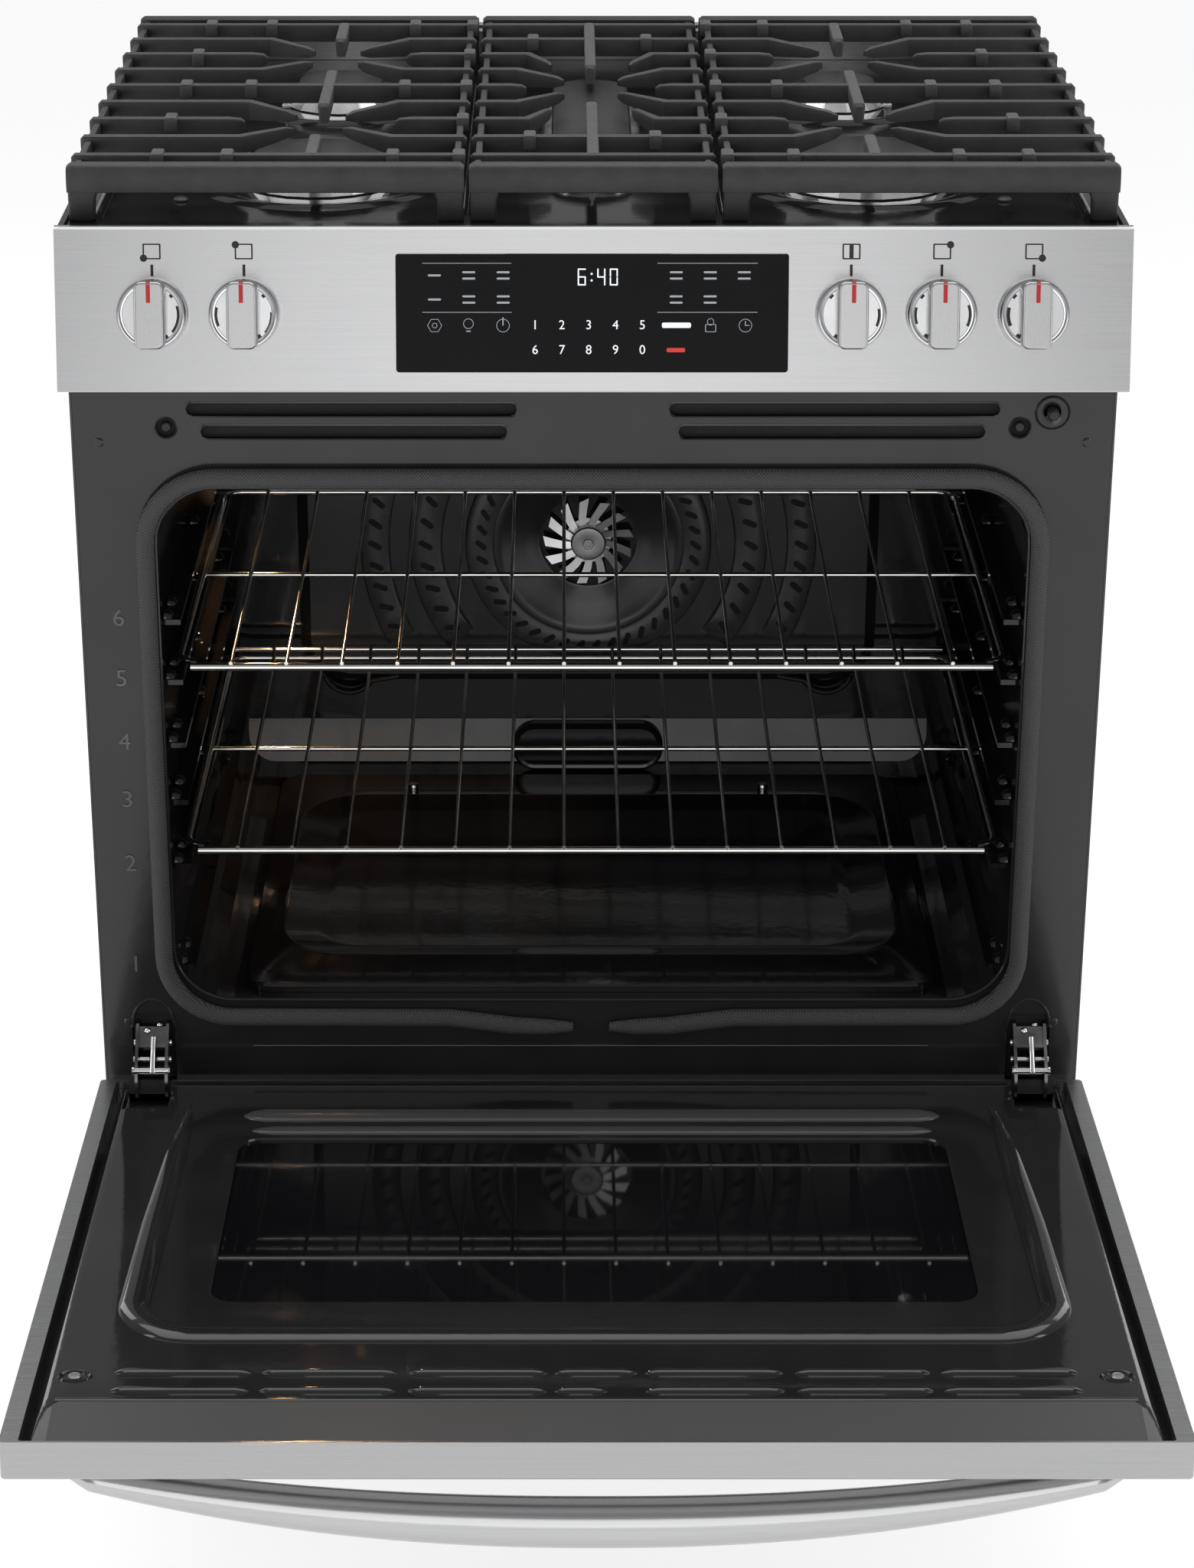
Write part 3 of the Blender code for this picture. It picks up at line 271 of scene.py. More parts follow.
# Lighter enamel for the low ribs near the hinges: a painted highlight.
enamel("rib_painted_highlight", (0.075, 0.075, 0.076), 0.22, mottle=0.10)
smooth_metal("hub_metal", (0.30, 0.30, 0.31), (0.38, 0.38, 0.39), 0.34)
cast_metal("cast_iron", (0.028, 0.028, 0.0285), (0.041, 0.041, 0.042), 0.50, 0.0002)
# Lighter iron for the grates' pads and fingers: a painted highlight on their tops, which catch the overhead
# light.
cast_metal("pad_iron_painted_highlight", (0.060, 0.060, 0.061), (0.085, 0.085, 0.086), 0.46, 0.0003)
cast_metal("cap_enamel", (0.008, 0.008, 0.0085), (0.013, 0.013, 0.014), 0.42, 0.0001)
woven_seal("seal")
glossy_glass("black_glass", (0.004, 0.004, 0.005), gloss=0.08)
glossy_glass("window_glass", (0.006, 0.006, 0.007))
moulded_plastic("plastic", (0.016, 0.016, 0.017), 0.50)
# Near-black sheets, plugs and insets that stand in for the shade inside holes and slots: painted shade.
moulded_plastic("painted_shade", (0.003, 0.003, 0.003), 0.75)
moulded_plastic("ink", (0.006, 0.006, 0.006), 0.45)
moulded_plastic("red_ink", (0.45, 0.010, 0.012), 0.40)
moulded_plastic("ceramic", (0.72, 0.70, 0.66), 0.35)
smooth_metal("brass", (0.52, 0.36, 0.13), (0.64, 0.45, 0.18), 0.34)
lit("lit_white", (0.72, 0.76, 0.80), 0.6)
lit("lit_soft", (0.36, 0.38, 0.40), 0.25)
lit("lit_red", (0.60, 0.03, 0.02), 0.35)
lit("lamp", (0.22, 0.14, 0.07), 0.10)

# Looks of the CAD nodes that stay in sight
CAD_LOOKS = {
    "stainless": "control_panel rear_vent_trim",
    "door_steel": "door_skin drawer_front",
    "zinc": "base_frame back_panel fan_motor bake_burner broil_burner drawer_box gas_manifold",
    "grey_enamel": "left_side_panel right_side_panel",
    "frame_enamel": "front_frame",
    "black_enamel": "oven_cavity cooktop",
    "black_glass": "display_glass",
    "window_glass": "door_inner_glass",
    "aluminium": "pressure_regulator",
    "chrome": "temperature_probe",
    "lamp": "oven_lamp",
    "plastic": "door_switch_plunger control_board "
    "foot_front_left foot_front_right foot_rear_left foot_rear_right",
}


def dress_cad_nodes():
    looks = {node: look for look, nodes in CAD_LOOKS.items() for node in nodes.split()}
    for name, node in frame["nodes"].items():
        look = "brass" if name.startswith("valve_stem") else looks.get(name, "cast_iron")
        node.data.materials.clear()
        node.data.materials.append(MATERIALS[look])


# ---------------------------------------------------------------------------------------------- mesh helpers


def piece(name, bm, look, body, matrix=BODY, replaces=(), sharp=35.0):
    """Turn a bmesh drawn in one of the frames into a piece that rides on a CAD body."""
    bmesh.ops.recalc_face_normals(bm, faces=bm.faces)
    bm.transform(matrix)
    mesh = bpy.data.meshes.new(name)
    bm.to_mesh(mesh)
    bm.free()
    mesh.shade_smooth()
    mesh.set_sharp_from_angle(angle=math.radians(sharp))
    mesh.materials.append(MATERIALS[look])
    obj = bpy.data.objects.new(name, mesh)
    bpy.context.scene.collection.objects.link(obj)
    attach(obj, body)
    if replaces:
        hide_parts(*replaces)
    return obj


def body_piece(name, bm, look, matrix=BODY, replaces=(), sharp=35.0):
    """A piece of the range's fixed body."""
    return piece(name, bm, look, "range_body", matrix, replaces, sharp)


def door_piece(name, bm, look, replaces=(), sharp=35.0):
    return piece(name, bm, look, "door", DOOR, replaces, sharp)


def loft(bm, rings, hollow=False):
    """Skin through rings of 3-D points. The ends are capped, or joined if hollow."""
    loops = [[bm.verts.new(point) for point in ring] for ring in rings]
    pairs = list(zip(loops, loops[1:]))
    if hollow:
        pairs.append((loops[-1], loops[0]))
    for near, far in pairs:
        for i, vert in enumerate(near):
            after = (i + 1) % len(near)
            bm.faces.new((vert, near[after], far[after], far[i]))
    if not hollow:
        bm.faces.new(loops[0])
        bm.faces.new(loops[-1])


def arc(middle, radius, start, end, steps):
    """Points on an arc, as (u, v), with the angles in degrees."""
    points = []
    for step in range(steps + 1):
        angle = math.radians(start + (end - start) * step / steps)
        points.append((middle[0] + radius * math.cos(angle), middle[1] + radius * math.sin(angle)))
    return points


def rounded(low, high, radius, steps=6):
    """A rectangle's outline with round corners, as (u, v) points."""
    (u0, v0), (u1, v1) = low, high
    return [
        *arc((u1 - radius, v1 - radius), radius, 0, 90, steps),
        *arc((u0 + radius, v1 - radius), radius, 90, 180, steps),
        *arc((u0 + radius, v0 + radius), radius, 180, 270, steps),
        *arc((u1 - radius, v0 + radius), radius, 270, 360, steps),
    ]


def centred(half, low, high, radius, steps=6):
    """A rounded rectangle from -half to half, and from low to high."""
    return rounded((-half, low), (half, high), radius, steps)


def circle(radius, sides, middle=(0.0, 0.0)):
    return arc(middle, radius, 0, 360, sides)[:-1]


def plane_points(axis, outline, height):
    """Put an outline in the plane square to an axis, at a height along it."""
    place = {
        "X": lambda u, v: (height, u, v),
        "Y": lambda u, v: (u, height, v),
        "Z": lambda u, v: (u, v, height),
    }
    return [place[axis](u, v) for u, v in outline]


def stack(bm, axis, levels, hollow=False):
    """Loft through (outline, height) levels along an axis."""
    loft(bm, [plane_points(axis, outline, height) for outline, height in levels], hollow)


def slab(bm, axis, outline, low, high):
    stack(bm, axis, ((outline, low), (outline, high)))


def ring_outline(bm, outline, line, height):
    """A thin closed line through outline points."""
    middle = Vector((sum(u for u, _ in outline) / len(outline), sum(v for _, v in outline) / len(outline)))
    inner = []
    for u, v in outline:
        spoke = Vector((u, v)) - middle
        inner.append(tuple(middle + spoke * (1 - line / spoke.length)))
    top = height + 0.0001
    stack(bm, "Z", ((outline, height), (outline, top), (inner, top), (inner, height)), hollow=True)


def soft_block(bm, low, high, edge=0.001, segments=2):
    """A box with rounded edges."""
    size = Vector(high) - Vector(low)
    middle = (Vector(high) + Vector(low)) / 2
    at = Matrix.Translation(middle) @ Matrix.Diagonal((*size, 1.0))
    made = bmesh.ops.create_cube(bm, size=1.0, matrix=at)
    edges = {e for vert in made["verts"] for e in vert.link_edges}
    bmesh.ops.bevel(bm, geom=list(edges), offset=edge, segments=segments, profile=0.5, affect="EDGES")


def lathe(bm, profile, sides, matrix=WORLD, flutes=None, hollow=False):
    """Spin (radius, height) points about local Z. Flutes are (count, depth, first, last) over the profile."""
    loops = []
    for index, (radius, height) in enumerate(profile):
        ring = []
        for side in range(sides):
            angle = 2 * math.pi * side / sides
            reach = radius
            if flutes and flutes[2] <= index <= flutes[3]:
                reach += flutes[1] * math.cos(flutes[0] * angle)
            ring.append(matrix @ Vector((reach * math.cos(angle), reach * math.sin(angle), height)))
        loops.append(ring)
    loft(bm, loops, hollow)


def sweep(bm, path, section, up, scales=None, closed=False):
    """Skin a (side, up) section along a path, mitred at its bends. Scales shrink it at each point."""
    points = [Vector(point) for point in path]
    up = Vector(up)
    rings = []
    for i, point in enumerate(points):
        before = (point - points[i - 1]).normalized() if i or closed else None
        following = points[(i + 1) % len(points)]
        after = (following - point).normalized() if i + 1 < len(points) or closed else None
        heading = ((before or after) + (after or before)).normalized()
        side = heading.cross(up).normalized()
        lift = side.cross(heading)
        mitre = 1.0 / max(0.5, heading.dot(after or before))
        scale = scales[i] if scales else 1.0
        rings.append([point + side * (u * mitre * scale) + lift * (v * scale) for u, v in section])
    loft(bm, rings, hollow=closed)


def tube(bm, path, radius, up=(0, 0, 1), sides=10, closed=False):
    sweep(bm, path, circle(radius, sides), up, closed=closed)


def add_glyphs(bm, text, size, middle, thick):
    """Figures as solid outlines in the XY plane, centred on a point."""
    curve = bpy.data.curves.new("glyphs", "FONT")
    curve.body = text
    curve.size = size
    curve.extrude = thick / 2
    curve.resolution_u = 3
    curve.align_x = "CENTER"
    curve.align_y = "CENTER"
    scratch = bpy.data.objects.new("glyphs", curve)
    bpy.context.scene.collection.objects.link(scratch)
    graph = bpy.context.evaluated_depsgraph_get()
    mesh = bpy.data.meshes.new_from_object(scratch.evaluated_get(graph))
    mesh.transform(Matrix.Translation(middle))
    bm.from_mesh(mesh)
    bpy.data.meshes.remove(mesh)
    bpy.data.objects.remove(scratch)
    bpy.data.curves.remove(curve)


# ---------------------------------------------------------------------------------------------------- grates

ROWS = [0.060 + 0.0565 * row for row in range(9)]
BAR_WIDE, BAR_TALL = 0.0078, 0.0145
BURNER_ROWS = (0.173, 0.399)
COLUMN = 0.203  # the side burners' distance from the middle


def bar(bm, stations):
    """Skin a cast bar through (x, y, width, low, high): upright sides under a crowned top."""
    points = [Vector(station[:2]) for station in stations]
    rings = []
    for i, (_, _, wide, low, high) in enumerate(stations):
        before = (points[i] - points[i - 1]).normalized() if i else None
        after = (points[i + 1] - points[i]).normalized() if i + 1 < len(points) else None
        heading = ((before or after) + (after or before)).normalized()
        side = Vector((heading.y, -heading.x)) / max(0.6, heading.dot(after or before))
        half, crown = wide / 2, min(0.0022, (high - low) / 3)
        shoulder = high - crown * 0.3
        section = [(-half * 0.80, low), (half * 0.80, low), (half, high - crown), (half * 0.86, shoulder)]
        section += [(half * 0.5, high), (-half * 0.5, high), (-half * 0.86, shoulder), (-half, high - crown)]
        rings.append([(points[i].x + side.x * u, points[i].y + side.y * u, z) for u, z in section])
    loft(bm, rings)


def straight_bar(bm, start, end, wide=BAR_WIDE, rise=0.0):
    """A bar between two points, with rounded ends."""
    start, end = Vector(start), Vector(end)
    step = (end - start).normalized() * 0.0025
    low, high = GRATE_TOP - BAR_TALL, GRATE_TOP + rise
    spots = ((start, 0.55, 0.0025), (start + step, 1.0, 0.0), (end - step, 1.0, 0.0), (end, 0.55, 0.0025))
    bar(bm, [(spot.x, spot.y, wide * share, low, high - drop) for spot, share, drop in spots])


def bent_finger(bm, root, bend, tip):
    """A bar that runs straight from the side, then turns and tapers towards a burner."""
    root, bend, tip = Vector(root), Vector(bend), Vector(tip)
    low, high = GRATE_TOP - BAR_TALL, GRATE_TOP
    step = (bend - root).normalized() * 0.0025
    slant = tip - bend
    near = bend + slant * 0.85
    stations = [(root.x, root.y, BAR_WIDE * 0.55, low, high - 0.0025)]
    stations += [(spot.x, spot.y, BAR_WIDE, low, high) for spot in (root + step, bend)]
    stations.append((near.x, near.y, BAR_WIDE * 0.62, high - BAR_TALL * 0.62, high - 0.0004))
    stations.append((tip.x, tip.y, BAR_WIDE * 0.25, high - BAR_TALL * 0.45, high - 0.0022))
    bar(bm, stations)


def short_finger(bm, root, tip):
    """A straight bar that narrows and drops a little over its last stretch."""
    root, tip = Vector(root), Vector(tip)
    heading = (tip - root).normalized()
    low, high = GRATE_TOP - BAR_TALL, GRATE_TOP
    stations = [(root, 0.55, low, high - 0.0025), (root + heading * 0.0025, 1.0, low, high)]
    stations.append((tip - heading * 0.012, 1.0, low, high))
    stations.append((tip - heading * 0.003, 0.70, low + 0.004, high - 0.0008))
    stations.append((tip, 0.30, low + 0.006, high - 0.0030))
    bar(bm, [(spot.x, spot.y, BAR_WIDE * share, bottom, top) for spot, share, bottom, top in stations])


def nub(bm, x, y):
    """The raised pad where a casting's cross rib meets a bar."""
    low, high = (x - 0.0046, y - 0.0095, GRATE_TOP - 0.0095), (x + 0.0046, y + 0.0085, GRATE_TOP + 0.0018)
    soft_block(bm, low, high, 0.0016)


def grate_pieces(name, body, bars, pads):
    """The casting, and the pads and fingers in a lighter iron whose tops read as lit: a painted highlight."""
    piece(name, bars, "cast_iron", body, replaces=[name])
    piece(name + "_pads", pads, "pad_iron_painted_highlight", body)


def grate_ends(bm, left, right):
    """The front and back skirts with their four legs, and the low side rails."""
    low = COOKTOP
    leg = ((low, 0.0), (low + 0.0015, 0.0008), (GRATE_TOP - 0.026, 0.0012), (GRATE_TOP - 0.018, 0.004))
    for y, out in ((0.023, 1), (0.550, -1)):
        profile = [(0.0030, -0.0205), (0.0006, -0.0195), (0.0, -0.0115), (0.0014, -0.0030), (0.0030, -0.0008)]
        profile += [(0.0060, 0.0), (0.0120, 0.0), (0.0140, -0.0020), (0.0130, -0.0200)]
        stations = [(left, 0.90, 0.0020), (left + 0.003, 1.0, 0.0)]
        stations += [(right - 0.003, 1.0, 0.0), (right, 0.90, 0.0020)]
        rings = []
        for x, share, drop in stations:
            rings.append([
                (x, y + out * (0.007 + (d - 0.007) * share), GRATE_TOP + z * share - drop) for d, z in profile
            ])
        loft(bm, rings)
        for near, far in ((left, left + 0.019), (right - 0.019, right)):
            rings = []
            for z, grow in leg:
                inner = (grow if near == left else 0.0, grow if near != left else 0.0)
                ys = sorted((y + out * (0.0022 - min(grow, 0.001)), y + out * 0.0125))
                box = rounded((near + 0.0006 - inner[1], ys[0]), (far - 0.0006 + inner[0], ys[1]), 0.002, 3)
                rings.append(plane_points("Z", box, z))
            loft(bm, rings)
    for x in (left + 0.0035, right - 0.0085):
        soft_block(bm, (x, 0.030, GRATE_TOP - 0.0135), (x + 0.005, 0.543, GRATE_TOP - 0.0035), 0.0012)


def side_grate(name, body, side):
    inner, outer = 0.0920, 0.3750
    bm, pads = bmesh.new(), bmesh.new()
    ends = sorted((side * inner, side * outer))
    grate_ends(bm, *ends)

    def across(y, near, far):
        straight_bar(bm, (side * near, y), (side * far, y))

    for row, y in enumerate(ROWS):
        if row % 4 == 0:
            across(y, inner, outer)
            for x in (0.0965, 0.144, 0.263, 0.313):
                nub(pads, side * x, y)
        elif row % 4 == 2:
            short_finger(bm, (side * inner, y), (side * (COLUMN - 0.056), y))
            short_finger(bm, (side * outer, y), (side * (COLUMN + 0.056), y))
            for x in (0.0965, 0.314):
                nub(pads, side * x, y)
        else:
            burner = BURNER_ROWS[row // 4]
            tip_y = burner - 0.025 if y < burner else burner + 0.017
            for root_x, way in ((inner, -1), (outer, 1)):
                bend = (side * (COLUMN + way * 0.056), y)
                bent_finger(bm, (side * root_x, y), bend, (side * (COLUMN + way * 0.0185), tip_y))
    for near, far in ((0.057, 0.119), (0.216, 0.335), (0.450, 0.516)):
        straight_bar(pads, (side * COLUMN, near), (side * COLUMN, far), 0.0090, rise=0.0004)
    grate_pieces(name, body, bm, pads)


def centre_grate():
    half, middle_y = 0.0885, 0.286
    bm, pads = bmesh.new(), bmesh.new()
    grate_ends(bm, -half, half)
    for y in (ROWS[0], ROWS[1], ROWS[7], ROWS[8]):
        straight_bar(bm, (-half, y), (half, y))
    for y in (ROWS[1], ROWS[7]):
        for x in (-0.046, 0.046):
            nub(pads, x, y)
    for side in (-1, 1):
        short_finger(bm, (side * half, middle_y), (side * 0.050, middle_y))
        for end in (-1, 1):
            for row, bend, tip in ((2, 0.049, (0.031, 0.078)), (1, 0.057, (0.021, 0.023))):
                y = middle_y + end * row * 0.0565
                bent_finger(bm, (side * half, y), (side * bend, y), (side * tip[0], middle_y + end * tip[1]))
    straight_bar(pads, (0, 0.057), (0, 0.225), 0.0090, rise=0.0004)
    straight_bar(pads, (0, 0.350), (0, 0.516), 0.0090, rise=0.0004)
    grate_pieces("grate_centre", "centre_grate", bm, pads)


# --------------------------------------------------------------------------------------------------- burners


def round_burner(name, radius, igniter_angle):
    """A polished ring of facets under a black cap with gas ports round its side, and its spark igniter."""
    low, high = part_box("burner_cap_" + name)
    x, y = (low.x + high.x) / 2, (low.y + high.y) / 2
    at = Matrix.Translation((x, y, COOKTOP))
    bm = bmesh.new()
    profile = [(radius * 0.5, 0.0), (radius + 0.0095, 0.0), (radius + 0.0098, 0.0008)]
    profile += [(radius + 0.0090, 0.0018), (radius + 0.0024, 0.0098), (radius + 0.0014, 0.0106)]
    profile += [(radius - 0.0020, 0.0109), (radius - 0.0040, 0.0098), (radius * 0.5, 0.0098)]
    pairs = round(math.pi * radius / 0.0068)
    lathe(bm, profile, 2 * pairs, at, flutes=(pairs, 0.00030, 1, 5))
    label = "burner_base_" + name
    body_piece(label, bm, "ring_metal", WORLD, [label], sharp=3.0)
    bm = bmesh.new()
    profile = [(radius - 0.004, 0.0090), (radius - 0.0025, 0.0135), (radius, 0.0140)]
    profile += [(radius + 0.0004, 0.0165), (radius * 0.965, 0.0190), (radius * 0.80, 0.0205)]
    profile += [(radius * 0.40, 0.0210), (0.0006, 0.0211)]
    lathe(bm, profile, 72, at)
    label = "burner_cap_" + name
    body_piece(label, bm, "cap_enamel", WORLD, [label])
    bm = bmesh.new()
    ports = round(2 * math.pi * radius / 0.0105)
    for port in range(ports):
        turn = at @ Matrix.Rotation(2 * math.pi * port / ports, 4, "Z")
        spot = turn @ Matrix.Translation((radius - 0.0034, 0, 0.0117)) @ Matrix.Rotation(math.pi / 2, 4, "Y")
        lathe(bm, [(0.0013, 0.0), (0.0013, 0.0018)], 8, spot)
    # The gas ports as near-black plugs: painted shade inside the holes.
    body_piece("burner_ports_" + name, bm, "painted_shade", WORLD)
    angle = math.radians(igniter_angle)
    reach = radius + 0.0125
    igniter("igniter_" + name, x + reach * math.cos(angle), y + reach * math.sin(angle))


def igniter(name, x, y):
    at = Matrix.Translation((x, y, COOKTOP))
    bm = bmesh.new()
    lathe(bm, [(0.0034, 0.0), (0.0034, 0.0020), (0.0026, 0.0026), (0.0024, 0.0090), (0.0014, 0.0104)], 14, at)
    body_piece(name, bm, "ceramic", WORLD)
    bm = bmesh.new()
    lathe(bm, [(0.0007, 0.0100), (0.0007, 0.0140), (0.0003, 0.0146)], 8, at)
    body_piece(name + "_tip", bm, "chrome", WORLD)


def stadium(radius, half, steps=14):
    """An outline of two half rounds whose centres lie half away each way along Y."""
    return [*arc((0, half), radius, 0, 180, steps), *arc((0, -half), radius, 180, 360, steps)]


def centre_burner():
    low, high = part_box("burner_cap_centre")
    radius = (high.x - low.x) / 2
    front = low.y - 0.029  # the real head reaches further forward than its CAD stand-in
    half = (high.y - front) / 2 - radius
    at = Matrix.Translation(((low.x + high.x) / 2, (front + high.y) / 2, COOKTOP))
    base = [(0.0080, 0.0), (0.0082, 0.0008), (0.0076, 0.0016), (0.0064, 0.0096), (0.0052, 0.0104)]
    cap = [(-0.0030, 0.0092), (-0.0015, 0.0135), (0.0, 0.0140), (0.0004, 0.0165), (-0.0012, 0.0188)]
    for name, look, slot, profile in (
        ("burner_base_centre", "ring_metal", "aluminium", [*base, (-0.003, 0.0104)]),
        ("burner_cap_centre", "cap_enamel", "cast_iron", [*cap, (-0.007, 0.0202)]),
    ):
        bm = bmesh.new()
        stack(bm, "Z", [(stadium(radius + grow, half), height) for grow, height in profile])
        body_piece(name, bm, look, at, [name])
    igniter("igniter_centre", 0.0, front - 0.012)


def cooktop_details():
    """Pressed wells round the burners, raised beads between them, and hold-down screws."""
    wells = {"front_left": 0.040, "front_right": 0.036, "rear_left": 0.042, "rear_right": 0.046}
    bm = bmesh.new()
    for name, grow in wells.items():
        low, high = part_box("burner_cap_" + name)
        radius = (high.x - low.x) / 2 + grow
        at = Matrix.Translation(((low.x + high.x) / 2, (low.y + high.y) / 2, COOKTOP - 0.0002))
        ring = [(radius - 0.014, 0.0), (radius - 0.010, 0.0016), (radius - 0.005, 0.0022), (radius, 0.0014)]
        lathe(bm, [*ring, (radius + 0.006, 0.0)], 72, at, hollow=True)
    body_piece("cooktop_wells", bm, "black_enamel", WORLD)
    bm = bmesh.new()
    for x in (-0.355, -0.090, 0.090, 0.355):
        tube(bm, [(x, 0.030, COOKTOP - 0.0015), (x, 0.540, COOKTOP - 0.0015)], 0.0050, (0, 0, 1), 12)
    body_piece("cooktop_beads", bm, "black_enamel")
    bm = bmesh.new()
    for x in (-0.300, 0.300):
        for y in (0.085, 0.215, 0.345, 0.470):
            at = Matrix.Translation((x, y, COOKTOP - 0.0003))
            lathe(bm, [(0.0055, 0.0), (0.0055, 0.0012), (0.0040, 0.0026), (0.0015, 0.0030)], 20, at)
    body_piece("cooktop_screws", bm, "cap_enamel")


# -------------------------------------------------------------------------------------------------- controls

KNOB_RADIUS = 0.0247
# Arcs printed on each dial, as (start, end) in degrees with 0 to the right, and thick or thin
DIAL_MARKS = {
    "front_left": ((-75, -52, 2), (-40, 18, 1), (38, 46, 1)),
    "rear_left": ((-70, -50, 2), (-40, 5, 0), (38, 46, 1), (165, 205, 1)),
    "centre": ((-25, 12, 1), (134, 144, 1), (230, 250, 2)),
    "rear_right": ((-25, 20, 1), (134, 144, 1), (165, 200, 1), (228, 250, 2)),
    "front_right": ((134, 144, 1), (165, 205, 2), (228, 250, 2)),
}


def dial_mark(bm, start, end, weight, height):
    """A printed arc on a dial, as a thin slab."""
    inner, outer = 0.0190 - 0.0007 * weight, 0.0201
    steps = max(3, int((end - start) / 5))
    outline = arc((0, 0), outer, start, end, steps) + arc((0, 0), inner, end, start, steps)
    slab(bm, "Z", outline, height, height + 0.0002)


def make_knob(name, x):
    at = PANEL @ Matrix.Translation((x, 0, 0))
    body = "dial_" + name
    skirt, face, top = 0.0038, 0.0118, 0.0290
    bm = bmesh.new()
    profile = [(0.0180, skirt), (0.0235, skirt), (KNOB_RADIUS, skirt + 0.0012), (KNOB_RADIUS, 0.0092)]
    profile += [(0.0243, 0.0108), (0.0236, 0.0122), (0.0226, 0.0126), (0.0218, 0.0122)]
    lathe(bm, [*profile, (0.0216, face - 0.0008), (0.0180, face - 0.0012)], 96)
    piece("knob_ring_" + name, bm, "chrome", body, at, ["knob_" + name])
    bm = bmesh.new()
    dial = [(0.0208, face - 0.0030), (0.0207, face - 0.0004), (0.0202, face), (0.0196, face), (0.0020, face)]
    lathe(bm, dial, 72)
    piece("knob_dial_" + name, bm, "dial_metal", body, at)
    bm = bmesh.new()
    grip = ((0.0, face - 0.002), (0.0, top - 0.0020), (0.0003, top - 0.0009), (0.0009, top - 0.0002))
    stack(bm, "Z", [
        (centred(0.0105 - inset, inset - 0.0236, 0.0236 - inset, 0.0050 - inset), height)
        for inset, height in (*grip, (0.0016, top), (0.0020, top))
    ])
    piece("knob_grip_" + name, bm, "satin", body, at)
    bm = bmesh.new()
    for start, end, weight in DIAL_MARKS[name]:
        dial_mark(bm, start, end, weight, face)
    piece("knob_marks_" + name, bm, "ink", body, at)
    bm = bmesh.new()
    soft_block(bm, (-0.0015, 0.0090, top - 0.0004), (0.0015, 0.0218, top + 0.0003), 0.0002, 1)
    soft_block(bm, (-0.0015, 0.0200, top - 0.0090), (0.0015, 0.0239, top - 0.0002), 0.0002, 1)
    piece("knob_pointer_" + name, bm, "red_ink", body, at)


def panel_print():
    """The tick over each knob, and an outline of the cooktop with a dot at that knob's burner."""
    dots = {"front_left": (-1, -1), "rear_left": (-1, 1), "rear_right": (1, 1), "front_right": (1, -1)}
    bm = bmesh.new()
    ink = 0.00015
    for name, x in KNOBS.items():
        slab(bm, "Z", rounded((x - 0.0010, 0.0262), (x + 0.0010, 0.0345), 0.0004, 2), 0.0, ink)
        wide, tall, v = 0.0064, 0.0055, 0.0436
        ring_outline(bm, rounded((x - wide, v - tall), (x + wide, v + tall), 0.0006, 2), 0.0014, 0.0)
        if name in dots:
            to_x, to_v = dots[name]
            mark = circle(0.0026, 20, (x + to_x * (wide - 0.0006), v + to_v * (tall - 0.0008)))
        else:
            mark = rounded((x - 0.0015, v - tall), (x + 0.0015, v + tall), 0.0012, 4)
        slab(bm, "Z", mark, 0.0, ink * 1.3)
    body_piece("panel_print", bm, "ink", PANEL)


SEGMENTS = {"0": "abcdef", "4": "fgbc", "6": "afgedc"}
LIT_HEIGHT = 0.0007


def lit_slab(bm, outline):
    """A lit mark just proud of the display's glass."""
    slab(bm, "Z", outline, LIT_HEIGHT, LIT_HEIGHT + 0.0001)


def seven_segment(bm, digit, left, low, wide, tall, line):
    """A figure made of lit bars."""
    middle = low + tall / 2
    bars = {
        "a": ((left, low + tall - line), (left + wide, low + tall)),
        "b": ((left + wide - line, middle), (left + wide, low + tall)),
        "c": ((left + wide - line, low), (left + wide, middle)),
        "d": ((left, low), (left + wide, low + line)),
        "e": ((left, low), (left + line, middle)),
        "f": ((left, middle), (left + line, low + tall)),
        "g": ((left, middle - line / 2), (left + wide, middle + line / 2)),
    }
    for segment in SEGMENTS[digit]:
        (u0, v0), (u1, v1) = bars[segment]
        inset = line * 0.12
        lit_slab(bm, rounded((u0 + inset, v0 + inset), (u1 - inset, v1 - inset), line * 0.3, 2))


def bar_label(bm, u, v, rows, half=0.0046):
    """One or two short bars that stand for a printed word or two."""
    for shift in ((0.0022, -0.0022) if rows == 2 else (0.0,)):
        low, high = (u - half, v + shift - 0.0007), (u + half, v + shift + 0.0007)
        lit_slab(bm, rounded(low, high, 0.0006, 2))


def thin_line(bm, u0, u1, v, thick=0.0004):
    corners = [(u0, v - thick / 2), (u1, v - thick / 2), (u1, v + thick / 2), (u0, v + thick / 2)]
    lit_slab(bm, corners)


def lit_ring(bm, middle, radius, sides=24, line=0.0004):
    ring_outline(bm, circle(radius, sides, middle), line, LIT_HEIGHT)


def clock_face(bm):
    """The time of day, in lit bars."""
    wide, tall, line, low = 0.0061, 0.0122, 0.0013, 0.0171
    for digit, left in (("6", -0.0114), ("4", 0.0024), ("0", 0.0112)):
        seven_segment(bm, digit, left, low, wide, tall, line)
    for v in (low + tall * 0.30, low + tall * 0.68):
        lit_slab(bm, circle(0.0008, 10, (-0.0014, v)))


